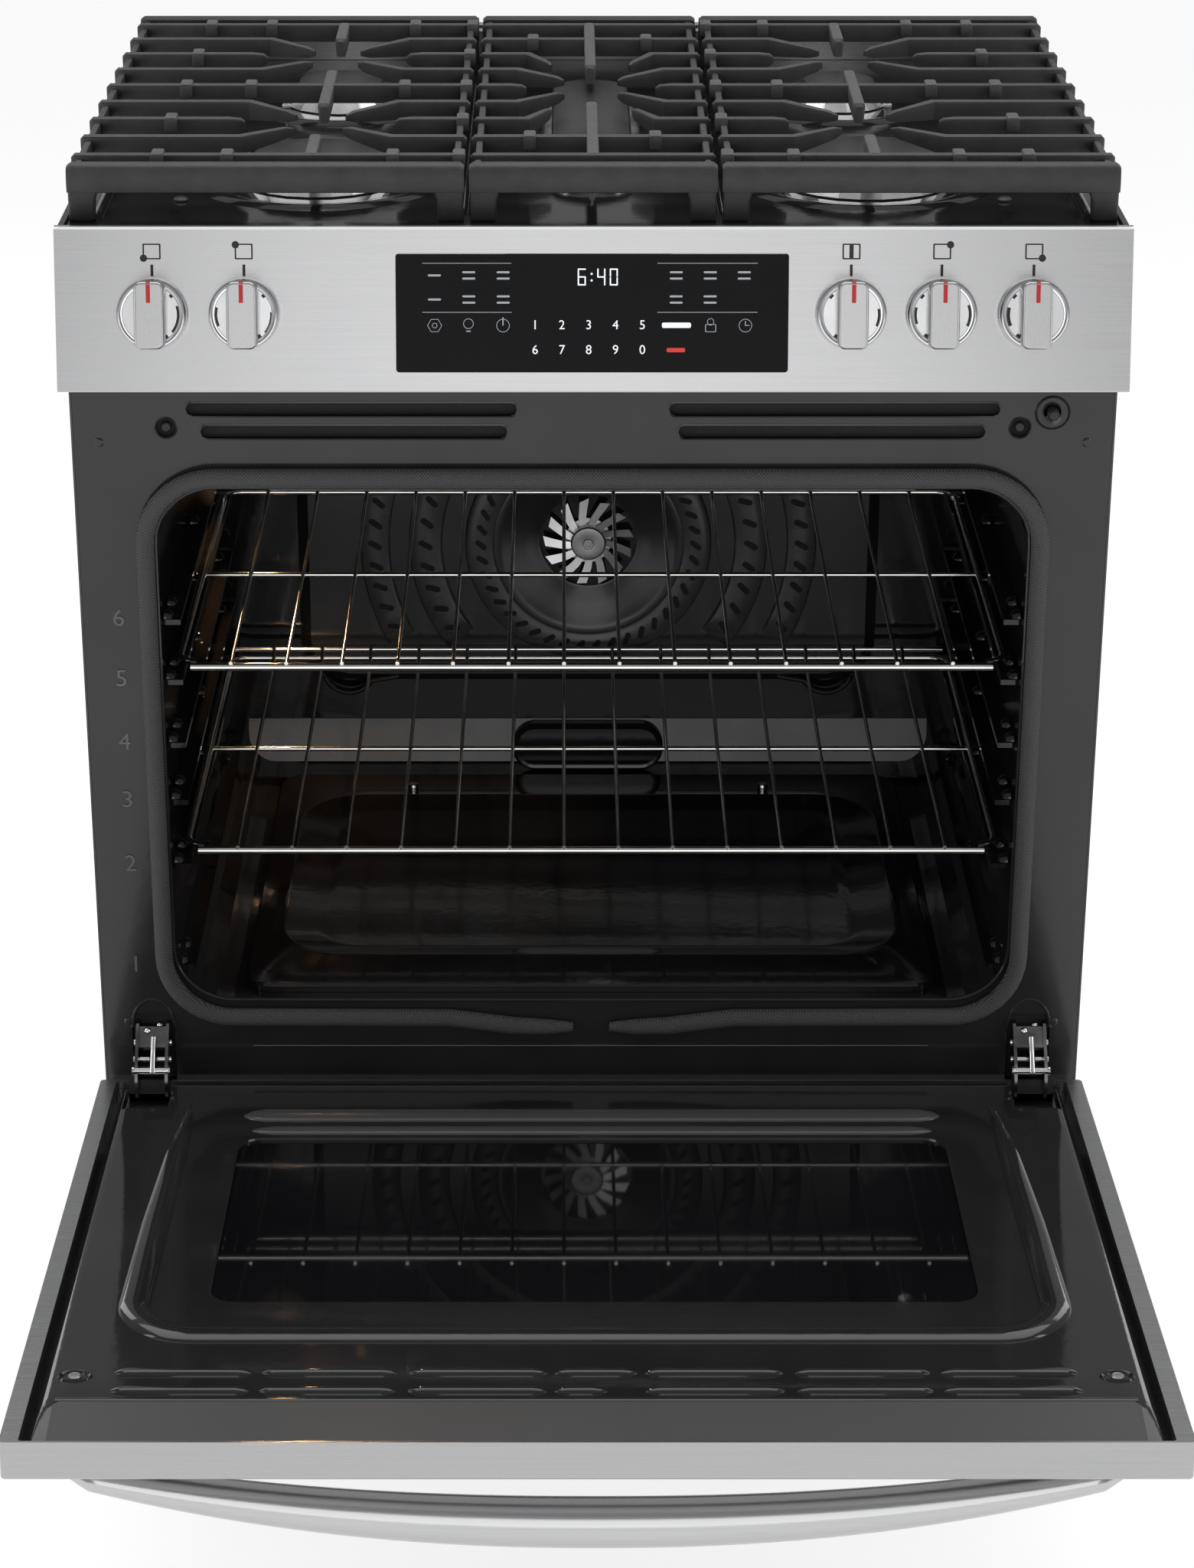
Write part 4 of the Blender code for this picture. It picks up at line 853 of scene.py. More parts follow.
def key_symbols(bm):
    """The outline symbols in the keys' row: settings, lamp, power, lock and clock."""
    v = -0.0109
    for radius, sides in ((0.0052, 6), (0.0019, 12)):
        lit_ring(bm, (-0.1125, v), radius, sides)
    lit_ring(bm, (-0.0886, v + 0.0013), 0.0037, 16)
    thin_line(bm, -0.0902, -0.0870, v - 0.0040, 0.0008)
    lit_ring(bm, (-0.0641, v), 0.0047)
    lit_slab(bm, rounded((-0.0645, v), (-0.0637, v + 0.0058), 0.0002, 2))
    ring_outline(bm, rounded((0.0790, v - 0.0046), (0.0868, v + 0.0010), 0.0008, 3), 0.0006, LIT_HEIGHT)
    lit_ring(bm, (0.0829, v + 0.0026), 0.0025, 14)
    lit_ring(bm, (0.1075, v), 0.0047)
    thin_line(bm, 0.1072, 0.1103, v, 0.0005)
    lit_slab(bm, rounded((0.1072, v), (0.1078, v + 0.0032), 0.0002, 2))


def display_graphics():
    """The lit clock, the number keys, and outline symbols and bars in place of words."""
    at = PANEL @ Matrix.Translation((0, DISPLAY_RISE, 0))
    rows = {"first": -0.0107, "second": -0.0282}
    bm = bmesh.new()
    clock_face(bm)
    for column in range(5):
        u = -0.0414 + column * 0.0190
        add_glyphs(bm, str(column + 1), 0.0092, (u, rows["first"], LIT_HEIGHT), 0.0002)
        add_glyphs(bm, str((column + 6) % 10), 0.0092, (u, rows["second"], LIT_HEIGHT), 0.0002)
    bar_low, bar_high = (0.0484, rows["first"] - 0.0019), (0.0690, rows["first"] + 0.0019)
    lit_slab(bm, rounded(bar_low, bar_high, 0.0012, 3))
    body_piece("display_lights", bm, "lit_white", at)
    bm = bmesh.new()
    for u0, u1 in ((-0.121, -0.058), (0.045, 0.116)):
        thin_line(bm, u0, u1, 0.0328)
        thin_line(bm, u0, u1, -0.0016)
    for column in range(3):
        left, right = -0.1125 + column * 0.0243, 0.0584 + column * 0.0240
        for v in (0.0243, 0.0074):
            bar_label(bm, left, v, 2 if column else 1)
            if column < 2 or v > 0.02:
                bar_label(bm, right, v, 2)
    key_symbols(bm)
    body_piece("display_print", bm, "lit_soft", at)
    bm = bmesh.new()
    bar_low, bar_high = (0.0518, rows["second"] - 0.0015), (0.0650, rows["second"] + 0.0015)
    lit_slab(bm, rounded(bar_low, bar_high, 0.0010, 3))
    body_piece("display_stop_light", bm, "lit_red", at)


# ----------------------------------------------------------------------------------------------- front frame


def frame_slots():
    """The cooling slots' rims, and sheets of painted shade behind them and behind the bumpers' holes."""
    dark, rims = bmesh.new(), bmesh.new()
    for z, near, far in FRAME_SLOTS:
        for low, high in ((-far, -near), (near, far)):
            backing = rounded((low - 0.003, z - 0.0075), (high + 0.003, z + 0.0075), 0.0060)
            slab(dark, "Y", backing, 0.0042, 0.0060)
            ring = rounded((low, z - 0.0048), (high, z + 0.0048), 0.0044)
            edge = rounded((low - 0.0012, z - 0.0060), (high + 0.0012, z + 0.0060), 0.0055)
            stack(rims, "Y", ((edge, 0.0), (edge, -0.0003), (ring, -0.0006), (ring, 0.0020)), hollow=True)
    for x in (-BUMPER_X, BUMPER_X):
        slab(dark, "Y", circle(0.010, 20, (x, BUMPER_Z)), 0.0042, 0.0060)
    body_piece("frame_slot_painted_shade", dark, "painted_shade")
    body_piece("frame_slot_rims", rims, "frame_enamel")


def frame_details():
    """What sits on the enamelled face: bumper cups, screws, the door switch's plate and the rack numbers."""
    bm, bumpers = bmesh.new(), bmesh.new()
    for x in (-BUMPER_X, BUMPER_X):
        at = Matrix.Translation((x, 0, BUMPER_Z)) @ FACE_FRONT
        lathe(bm, [(0.0072, -0.003), (0.0073, 0.0002), (0.0078, 0.0008), (0.0085, 0.0)], 28, at, hollow=True)
        lathe(bumpers, [(0.0040, -0.0040), (0.0040, -0.0025), (0.0030, -0.0012), (0.0010, -0.0006)], 20, at)
    for x, z in ((-0.358, 0.738), (0.358, 0.738), (-0.358, 0.269), (0.358, 0.269)):
        at = Matrix.Translation((x, 0, z)) @ FACE_FRONT
        lathe(bm, [(0.0034, 0.0), (0.0034, 0.0006), (0.0026, 0.0013), (0.0008, 0.0014)], 20, at)
    at = Matrix.Translation((0.332, 0, 0.7605)) @ FACE_FRONT
    lathe(bm, [(0.0062, 0.0), (0.0070, 0.0004), (0.0112, 0.0004), (0.0122, 0.0014), (0.0130, 0.0)], 40, at)
    body_piece("frame_fittings", bm, "frame_enamel")
    body_piece("frame_bumpers", bumpers, "plastic")
    bm = bmesh.new()
    for number, z in enumerate(RACK_LEVELS, 1):
        add_glyphs(bm, str(number), 0.0190, (0, 0, 0), 0.0016)
        for vert in bm.verts:
            if not vert.tag:
                vert.co = Matrix.Translation((-0.350, 0, z)) @ FACE_FRONT @ vert.co
                vert.tag = True
    # The pressed rack numbers, in a lighter enamel that paints on their highlight.
    body_piece("frame_level_numbers", bm, "number_painted_highlight")


def gasket():
    """The woven seal round the oven's mouth, whose ends dip and meet low at the middle."""
    half, low, high, radius = 0.3275, 0.276, 0.713, 0.052
    depth = -0.0062
    ring = centred(half, low, high, radius, 10)
    last_corner = 3 * 11
    ring = ring[last_corner:] + ring[:last_corner]
    dips = ((0.014, 0.0085), (0.035, 0.0085), (0.060, 0.0075), (0.085, 0.0040), (0.110, 0.0008))
    right = [(x, low - dip) for x, dip in dips]
    left = [(-x, z) for x, z in reversed(right)]
    path = [(x, depth, z) for x, z in right + ring + left]
    scales = [0.55, 0.9, 1.0] + [1.0] * (len(path) - 6) + [1.0, 0.9, 0.55]
    bm = bmesh.new()
    sweep(bm, path, circle(0.0068, 14), INWARD, scales)
    body_piece("oven_gasket", bm, "seal", replaces=["oven_gasket"])
    bm = bmesh.new()
    lip = centred(MOUTH_HALF, MOUTH_LOW, MOUTH_HIGH, 0.045, 10)
    tube(bm, [(x, -0.0006, z) for x, z in lip], 0.0016, INWARD, 10, closed=True)
    body_piece("oven_mouth_lip", bm, "liner_enamel")


# ------------------------------------------------------------------------------------------------------ oven


def wire_rack(name, body, level):
    bar_z, wire_z = level - 0.0010, level + 0.0018
    front, back = 0.0315, 0.4285
    bm = bmesh.new()
    half, bend = 0.3100, 0.016
    near = arc((half - bend, front + bend), bend, 0, -80, 6)[1:]
    side = [(half, back - bend), (half, front + bend), *near]
    far = arc((half - bend, back - bend), bend, 90, 0, 6)
    half_loop = [(x, y, wire_z - 0.0008) for x, y in far + side]
    tube(bm, [(-x, y, z) for x, y, z in reversed(half_loop)] + half_loop, 0.0024)
    tube(bm, [(-0.3015, 0.0300, level - 0.0024), (0.3015, 0.0300, level - 0.0024)], 0.0032, sides=14)
    tube(bm, [(-0.308, 0.229, bar_z), (0.308, 0.229, bar_z)], 0.0021, sides=10)
    tube(bm, [(-0.306, 0.4260, level + 0.0100), (0.306, 0.4260, level + 0.0100)], 0.0022, sides=10)
    wires = 14
    for wire in range(wires):
        x = (wire - (wires - 1) / 2) * 0.0417
        path = [(x, 0.0265, wire_z), (x, 0.392, wire_z), (x, 0.402, wire_z + 0.0008)]
        path += [(x, 0.412, wire_z + 0.0035), (x, 0.420, wire_z + 0.0075), (x, 0.4255, level + 0.0125)]
        tube(bm, path, 0.0015, (1, 0, 0), 8)
    piece(name, bm, "wire", body, replaces=[name], sharp=50.0)


# The cover's raised bands: inner and outer radius, the slots' radius, slots in a whole turn, and height
BANDS = (
    (0.080, 0.106, 0.0920, 42, 0.0050),
    (0.125, 0.154, 0.1395, 44, 0.0052),
    (0.170, 0.196, 0.1830, 60, 0.0052),
)
BAND_CUT = 0.418  # the two outer bands stop here


def band_span(radius):
    """The angles, in degrees from +X, between which a band of this radius clears the cut and the top."""
    drop = FAN_Z - BAND_CUT
    start = -90.0 if drop >= radius else -math.degrees(math.asin(drop / radius))
    rise = 0.686 - FAN_Z
    end = 90.0 if rise >= radius else math.degrees(math.asin(rise / radius))
    return start, end


def annular(bm, inner, outer, start, end, base, height, steps):
    """A raised sector with rounded shoulders, standing towards the cook from a base plane."""
    soft = 0.0035
    rings = []
    for step in range(steps + 1):
        angle = math.radians(start + (end - start) * step / steps)
        edge = min(step, steps - step)
        lift = height * min(1.0, 0.25 + 0.45 * edge)
        profile = [(inner, 0.0), (inner + soft * 0.4, lift * 0.75), (inner + soft, lift)]
        profile += [(outer - soft, lift), (outer - soft * 0.4, lift * 0.75), (outer, 0.0)]
        rings.append([(r * math.cos(angle), base - up, FAN_Z + r * math.sin(angle)) for r, up in profile])
    loft(bm, rings)


def convection_cover():
    """The pressed cover over the fan: a pan, a funnel round the hole, and slotted raised bands in a lighter
    enamel than the pan, a painted highlight.
    """
    low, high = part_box("convection_baffle")
    half, bottom, top = high.x, low.z, high.z
    base = 0.4420
    pan = align(fit_outline(centred(half - 0.010, bottom + 0.010, top - 0.004, 0.030, 30), 120))
    edge = align(fit_outline(centred(half, bottom, top, 0.036, 30), 120))
    funnel = [(align(circle(radius, 120, (0, FAN_Z))), depth) for radius, depth in (
        (0.0415, 0.4500), (0.0440, 0.4495), (0.0560, 0.4430), (0.0660, 0.4425), (0.0730, 0.4385),
        (0.0790, 0.4372), (0.0815, 0.4376), (0.0840, base),
    )]
    back = BACK_WALL - 0.0003
    rim = [(pan, base), (edge, BACK_WALL - 0.0006), (edge, back), (funnel[0][0], back)]
    bm = bmesh.new()
    stack(bm, "Y", funnel + rim, hollow=True)
    body_piece("convection_baffle", bm, "pan_enamel", replaces=["convection_baffle"])
    bm = bmesh.new()
    band_foot = base + 0.0005
    inner, outer, _, _, height = BANDS[0]
    annular(bm, inner, outer, -250.0, 70.0, band_foot, height, 96)
    for inner, outer, middle, _, height in BANDS[1:]:
        start, end = band_span(middle)
        for first, last in ((start, end), (180.0 - end, 180.0 - start)):
            annular(bm, inner, outer, first, last, band_foot, height, 48)
    body_piece("baffle_bands", bm, "band_enamel_painted_highlight")
    cover_slots(band_foot)


def align(outline):
    """Start an outline at its point nearest due +X of the fan, and run it anticlockwise."""
    return sorted(outline, key=lambda point: math.atan2(point[1] - FAN_Z, point[0]) % (2 * math.pi))


def fit_outline(outline, count):
    """Respace an outline round the fan's axis to a number of points at even bearings."""
    spokes = []
    for step in range(count):
        angle = 2 * math.pi * step / count
        ray = Vector((math.cos(angle), math.sin(angle)))
        best = 0.0
        for (u0, v0), (u1, v1) in zip(outline, outline[1:] + outline[:1]):
            start = Vector((u0, v0 - FAN_Z))
            along = Vector((u1 - u0, v1 - v0))
            cross = ray.x * along.y - ray.y * along.x
            if abs(cross) < 1e-12:
                continue
            reach = (start.x * along.y - start.y * along.x) / cross
            share = (start.x * ray.y - start.y * ray.x) / cross
            if reach > 0 and -1e-6 <= share <= 1 + 1e-6:
                best = max(best, reach)
        spokes.append((ray.x * best, FAN_Z + ray.y * best))
    return spokes


def cover_slots(band_foot):
    """The slanted slots along each band, as insets of painted shade, with a raised lip along their lower edge
    in a slightly lighter enamel that paints on its highlight.
    """
    bm, lips = bmesh.new(), bmesh.new()
    for band, (_, _, radius, count, height) in enumerate(BANDS):
        start, end = band_span(radius)
        front = band_foot - height
        for slot in range(count):
            angle = 360.0 * slot / count - 180.0
            folded = angle if abs(angle) <= 90 else math.copysign(180 - abs(angle), angle)
            if band and not start + 4 < folded < end - 3:
                continue
            turn = math.radians(angle)
            middle = Vector((radius * math.cos(turn), FAN_Z + radius * math.sin(turn)))
            lean = turn + math.pi - math.radians(30 if band else 40)
            way = Vector((math.cos(lean), math.sin(lean)))
            side = Vector((-way.y, way.x))
            reach, width = (0.0066, 0.0026) if band else (0.0058, 0.0024)
            outline = []
            for end_way, first in ((1, -90), (-1, 90)):
                centre = middle + way * (reach - width) * end_way
                for u, v in arc((0, 0), width, first, first + 180, 6):
                    outline.append(tuple(centre + way * u + side * v))
            slab(bm, "Y", outline, front - 0.0002, front + 0.0004)
            edge = [middle - way * (reach - width), middle + way * (reach - width)]
            lower = side * (-width - 0.0002 if side.y > 0 else width + 0.0002)
            tube(lips, [(p.x + lower.x, front - 0.0001, p.y + lower.y) for p in edge], 0.0005, INWARD, 6)
    # Near-black insets for the slots are painted shade. The lips' lighter enamel is a painted highlight.
    body_piece("baffle_slot_painted_shade", bm, "painted_shade")
    body_piece("baffle_slot_lip_highlights", lips, "grey_enamel")


def fan_wheel():
    """A hub with a screw, and pitched vanes that sweep back from it."""
    axle = BODY @ Matrix.Translation((0, 0, FAN_Z)) @ Matrix.Rotation(math.pi / 2, 4, "X")
    front, back = -0.4402, -0.4512
    bm = bmesh.new()
    hub = [(0.0040, -0.4690), (0.0040, back), (0.0146, back), (0.0150, back + 0.0012)]
    hub += [(0.0150, front - 0.0016), (0.0138, front - 0.0004), (0.0095, front)]
    hub += [(0.0060, front - 0.0004), (0.0006, front - 0.0004)]
    lathe(bm, hub, 48)
    piece("fan_hub", bm, "hub_metal", "fan", axle)
    bm = bmesh.new()
    lathe(bm, [(0.0200, back), (0.0200, back + 0.0008), (0.0140, back + 0.0010), (0.0100, back + 0.0008)], 48)
    blades, pitch = 13, math.radians(13)
    lean = Vector((0, math.cos(pitch), math.sin(pitch)))
    flat = Vector((0, -math.sin(pitch), math.cos(pitch))) * 0.0004
    corners = ((-1, -1), (1, -1), (1, 1), (-1, 1))
    for blade in range(blades):
        turn = Matrix.Rotation(2 * math.pi * blade / blades, 4, "Z")
        rings = []
        for share, sweep_back, half in ((0.0, 0.0, 0.0026), (0.45, -0.0034, 0.0036), (1.0, -0.0100, 0.0044)):
            middle = Vector((0.0125 + 0.0240 * share, sweep_back, (front + back) / 2))
            rings.append([turn @ (middle + lean * s * half + flat * t) for s, t in corners])
        loft(bm, rings)
    piece("fan_wheel", bm, "blade_metal", "fan", axle, ["fan_wheel"])
    bm = bmesh.new()
    profile = [(0.0052, front - 0.0006), (0.0052, front + 0.0002), (0.0046, front + 0.0008)]
    lathe(bm, [*profile, (0.0024, front + 0.0008), (0.0022, front - 0.0002)], 6)
    piece("fan_screw", bm, "zinc", "fan", axle)


def back_wall_details():
    """Under the fan cover: a pressed band whose lighter enamel is a painted highlight, a pill-shaped recess,
    and the cover's corner feet.
    """
    bm = bmesh.new()
    y = BACK_WALL
    low_z, high_z = 0.300, 0.337
    foot = 0.024
    outline = [(0.298, high_z), (-0.298, high_z), *arc((-0.298 + foot, low_z + foot), foot, 180, 270, 8)]
    outline += arc((0.298 - foot, low_z + foot), foot, 270, 360, 8)
    slope = [(x, y - 0.0012 - 0.0090 * (high_z - z) / (high_z - low_z), z) for x, z in outline]
    loft(bm, [plane_points("Y", outline, y + 0.0005), slope])
    body_piece("back_wall_band", bm, "band_enamel_painted_highlight")
    bm = bmesh.new()
    ring = [centred(0.066 - d, 0.292 + d, 0.336 - d, 0.020 - d, 10) for d in (0.0, 0.0025, 0.0050)]
    steps = ((0, 0.0), (0, 0.0100), (1, 0.0125), (2, 0.0118), (2, 0.0105))
    stack(bm, "Y", [(ring[index], y - proud) for index, proud in steps])
    body_piece("back_wall_recess", bm, "black_enamel")
    bm = bmesh.new()
    for side in (-1, 1):
        path = []
        start, end = (200, 330) if side < 0 else (-20, -150)
        for u, v in arc((side * 0.208, 0.388), 0.022, start, end, 12):
            path.append((u, y - 0.0100, v))
        path.append((path[-1][0] - side * 0.024, y - 0.0090, path[-1][2] + 0.004))
        tube(bm, path, 0.0030, INWARD, 10)
    body_piece("baffle_feet", bm, "black_enamel")


def wall_studs():
    """The shiny rounded studs that keep each rack on its ledge."""
    stud = [(0.0062, 0.0), (0.0060, 0.0030), (0.0046, 0.0058), (0.0020, 0.0072), (0.0004, 0.0074)]
    bm = bmesh.new()
    for level in RACK_LEVELS:
        for side in (-1, 1):
            for y in (0.022, 0.050, 0.236, 0.425):
                at = Matrix.Translation((side * 0.3185, y, level - 0.0075))
                lathe(bm, stud, 16, at @ Matrix.Rotation(-side * math.pi / 2, 4, "Y"))
    body_piece("cavity_studs", bm, "black_enamel")


def oven_floor():
    """The loose floor plate: a rolled rim, and a wide dished panel with soft corners."""
    low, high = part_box("oven_floor_panel")
    bottom, top = low.z, high.z
    near, far = 0.012, 0.430
    bm = bmesh.new()
    steps = (
        (0.2680, near, far, 0.022, bottom),
        (0.2680, near, far, 0.022, top - 0.0015),
        (0.2665, near + 0.0015, far - 0.0015, 0.021, top),
        (0.2480, 0.0620, 0.3850, 0.056, top),
        (0.2455, 0.0645, 0.3825, 0.054, top + 0.0010),
        (0.2430, 0.0670, 0.3800, 0.052, top + 0.0004),
        (0.2200, 0.0860, 0.3640, 0.040, bottom + 0.0024),
        (0.2130, 0.0920, 0.3580, 0.036, bottom + 0.0016),
    )
    stack(bm, "Z", [(centred(*outline, 10), height) for *outline, height in steps])
    body_piece("oven_floor_panel", bm, "black_enamel", replaces=["oven_floor_panel"])
    bm = bmesh.new()
    for x in (-0.152, 0.152):
        screw = [(0.0046, -0.0004), (0.0046, 0.0010), (0.0036, 0.0026), (0.0012, 0.0030)]
        lathe(bm, screw, 20, Matrix.Translation((x, 0.402, top)))
    body_piece("oven_floor_screws", bm, "chrome")


# ------------------------------------------------------------------------------------------------------ door

LINER_PLANE = 0.0085
BEAD_FOOT = LINER_PLANE - 0.0002
LINER_LOW, LINER_HIGH = 0.007, 0.556
# How the liner rolls over at its rim: the way in from the sides and down from the far edge, and the depth
LINER_ROLL = (
    (0.0006, 0.0010, -0.0006), (0.0012, 0.0140, 0.0019), (0.0026, 0.0290, 0.0047), (0.0046, 0.0420, 0.0070),
    (0.0074, 0.0480, LINER_PLANE - 0.0004), (0.0095, 0.0510, LINER_PLANE),
)
# Pressed louvres in two rows across the far end: middle and half length
LOUVRES = ((-0.270, 0.045), (-0.174, 0.044), (-0.077, 0.045), (0.077, 0.045), (0.174, 0.044), (0.270, 0.045))


def bead_section(half, tall):
    """A low pressed rib: steep feet, gently sloping faces, and a soft crown."""
    right = ((1.0, 0.0), (0.93, 0.26), (0.85, 0.46), (0.60, 0.70), (0.36, 0.93), (0.20, 1.0))
    crown = [(half * u, tall * v) for u, v in right] + [(-half * u, tall * v) for u, v in reversed(right)]
    return [*crown, (-half * 0.9, -0.0015), (half * 0.9, -0.0015)]


def door_liner():
    """The door's inner panel: rolled edges round a window, a three-sided bead, and two rows of louvres."""
    bm = bmesh.new()
    edge = centred(0.3620, LINER_LOW, LINER_HIGH, 0.005)
    roll = []
    for inset, far_drop, depth in LINER_ROLL:
        outline = centred(0.3615 - inset, LINER_LOW + inset, LINER_HIGH - far_drop, 0.005 + inset * 0.3)
        roll.append((outline, depth))
    wide, narrow = (centred(0.262 + d, 0.110 - d, 0.368 + d, 0.018 + d) for d in (0.0015, 0.0))
    window = [(wide, LINER_PLANE), (narrow, LINER_PLANE - 0.0012), (narrow, -0.004)]
    stack(bm, "Y", [(edge, -0.004), (edge, -0.0012), *roll, *window], hollow=True)
    cut_hinge_notches(bm)
    liner_bead(bm)
    liner_louvres(bm)
    door_piece("door_liner", bm, "liner_enamel", replaces=["door_liner"])
    liner_ribs()
    liner_chamfer()
    liner_screws()


def liner_bead(bm):
    """The rib that runs up one side, across the far end and down the other, fading out near the hinges."""
    side_x, far_t, radius = 0.3120, 0.4170, 0.045
    starts = ((-0.010, 0.045, 0.12), (-0.008, 0.075, 0.40), (-0.005, 0.140, 0.75), (-0.002, 0.250, 0.95))
    corner = arc((side_x - radius, far_t - radius), radius, 0, 90, 10)
    path = [(side_x + inset, BEAD_FOOT, t) for inset, t, _ in starts] + [(u, BEAD_FOOT, v) for u, v in corner]
    scales = [scale for _, _, scale in starts] + [1.0] * len(corner)
    other = [(-x, depth, t) for x, depth, t in reversed(path)]
    sweep(bm, path + other, bead_section(0.0110, 0.0040), INWARD, scales + scales[::-1])


def liner_louvres(bm):
    for t, centre in ((0.469, (0.0, 0.027)), (0.493, (-0.010, 0.017))):
        for middle, half in (*LOUVRES, centre):
            reaches = (-half, 0.004 - half, 0.009 - half, half - 0.009, half - 0.004, half)
            spots = [(middle + reach, BEAD_FOOT, t) for reach in reaches]
            sweep(bm, spots, bead_section(0.0052, 0.0034), INWARD, [0.2, 0.75, 1.0, 1.0, 0.75, 0.2])
    sweep(bm, [(-0.349, BEAD_FOOT, 0.5040), (0.349, BEAD_FOOT, 0.5040)], bead_section(0.0028, 0.0012), INWARD)


def liner_ribs():
    """Two low ribs between the hinges, in a lighter enamel than the liner: a painted highlight."""
    bm = bmesh.new()
    for t, end, half, tall in ((0.0700, 0.262, 0.0105, 0.0038), (0.0965, 0.254, 0.0065, 0.0030)):
        ends = [(x, BEAD_FOOT, t) for x in (-end, 0.006 - end, 0.016 - end, end - 0.016, end - 0.006, end)]
        sweep(bm, ends, bead_section(half, tall), INWARD, [0.20, 0.70, 1.0, 1.0, 0.70, 0.20])
    door_piece("door_liner_ribs", bm, "rib_painted_highlight")


def liner_chamfer():
    """The slope along the door's far edge: a satin finish, in an enamel lighter than the liner's that paints
    on its sheen.
    """
    half, near, far, thick = 0.3500, LINER_HIGH - 0.0500, LINER_HIGH - 0.0012, 0.0012
    rings = []
    for x, trim in ((-half, 0.0040), (0.0040 - half, 0.0), (half - 0.0040, 0.0), (half, 0.0040)):
        top, foot = LINER_PLANE + 0.0003 - trim * 0.15, trim * 0.1
        corners = ((top, near + trim), (foot, far), (foot - thick, far), (top - thick, near + trim))
        rings.append([(x, depth, t) for depth, t in corners])
    bm = bmesh.new()
    loft(bm, rings)
    door_piece("door_liner_chamfer", bm, "chamfer_painted_sheen")


def cut_hinge_notches(bm):
    """Take away the liner where the hinge arms stand in it."""
    low_x, high_x, high_t = 0.3215, 0.3565, 0.056
    for sign in (-1, 1):
        across = (sign, 0, 0)
        cuts = (((sign * low_x, 0, 0), across), ((sign * high_x, 0, 0), across), ((0, 0, high_t), (0, 0, 1)))
        for point, normal in cuts:
            geometry = bm.verts[:] + bm.edges[:] + bm.faces[:]
            bmesh.ops.bisect_plane(bm, geom=geometry, plane_co=point, plane_no=normal, dist=1e-6)
    inside = [
        face for face in bm.faces
        if low_x < abs(face.calc_center_median().x) < high_x and face.calc_center_median().z < high_t
    ]
    bmesh.ops.delete(bm, geom=inside, context="FACES")


def liner_screws():
    """Two screws in oval recesses near the door's far corners."""
    screw = [(0.0044, 0.0), (0.0044, 0.0012), (0.0034, 0.0020), (0.0022, 0.0020), (0.0018, 0.0010)]
    cups, screws = bmesh.new(), bmesh.new()
    for x in (-0.340, 0.340):
        at = Matrix.Translation((x, BEAD_FOOT, 0.474)) @ FACE_BACK
        oval = at @ Matrix.Diagonal((1.25, 0.85, 1.0, 1.0))
        lathe(cups, [(0.0060, 0.0), (0.0068, 0.0012), (0.0082, 0.0018), (0.0096, 0.0)], 36, oval, hollow=True)
        lathe(screws, screw, 24, at)
    door_piece("door_liner_cups", cups, "liner_enamel")
    door_piece("door_liner_screws", screws, "zinc")


def door_handle():
    """A bar that bows out from the door between two pointed ends."""
    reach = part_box("door_handle")[1].x
    height, root, bow = 0.530, -0.01855, 0.039
    stations, sides = 56, 28
    rings = []
    for station in range(stations + 1):
        along = -math.cos(math.pi * station / stations)
        fade = 1 - along**2
        out = bow * (1 - abs(along) ** 2.2)
        deep = 0.0085 * min(1.0, fade * 8 + 0.15) + 0.0085 * fade
        tall = 0.0120 * min(1.0, fade * 8 + 0.15) + 0.0035 * fade
        ring = []
        for side in range(sides):
            angle = 2 * math.pi * side / sides
            c, s = math.cos(angle), math.sin(angle)
            ring.append((reach * along, root - 0.0085 - out + deep * c, height + tall * s))
        rings.append(ring)
    bm = bmesh.new()
    loft(bm, rings)
    door_piece("door_handle", bm, "handle_steel", ["door_handle"], sharp=60.0)


def door_outer_glass():
    """The dark window let into the door's outer face."""
    bm = bmesh.new()
    face = -0.01825
    outer, inner = (centred(0.300 - d, 0.075 + d, 0.455 - d, 0.010 - d) for d in (0.0, 0.0006))
    stack(bm, "Y", ((outer, face + 0.0004), (outer, face - 0.0004), (inner, face - 0.0009)))
    door_piece("door_outer_glass", bm, "black_glass")


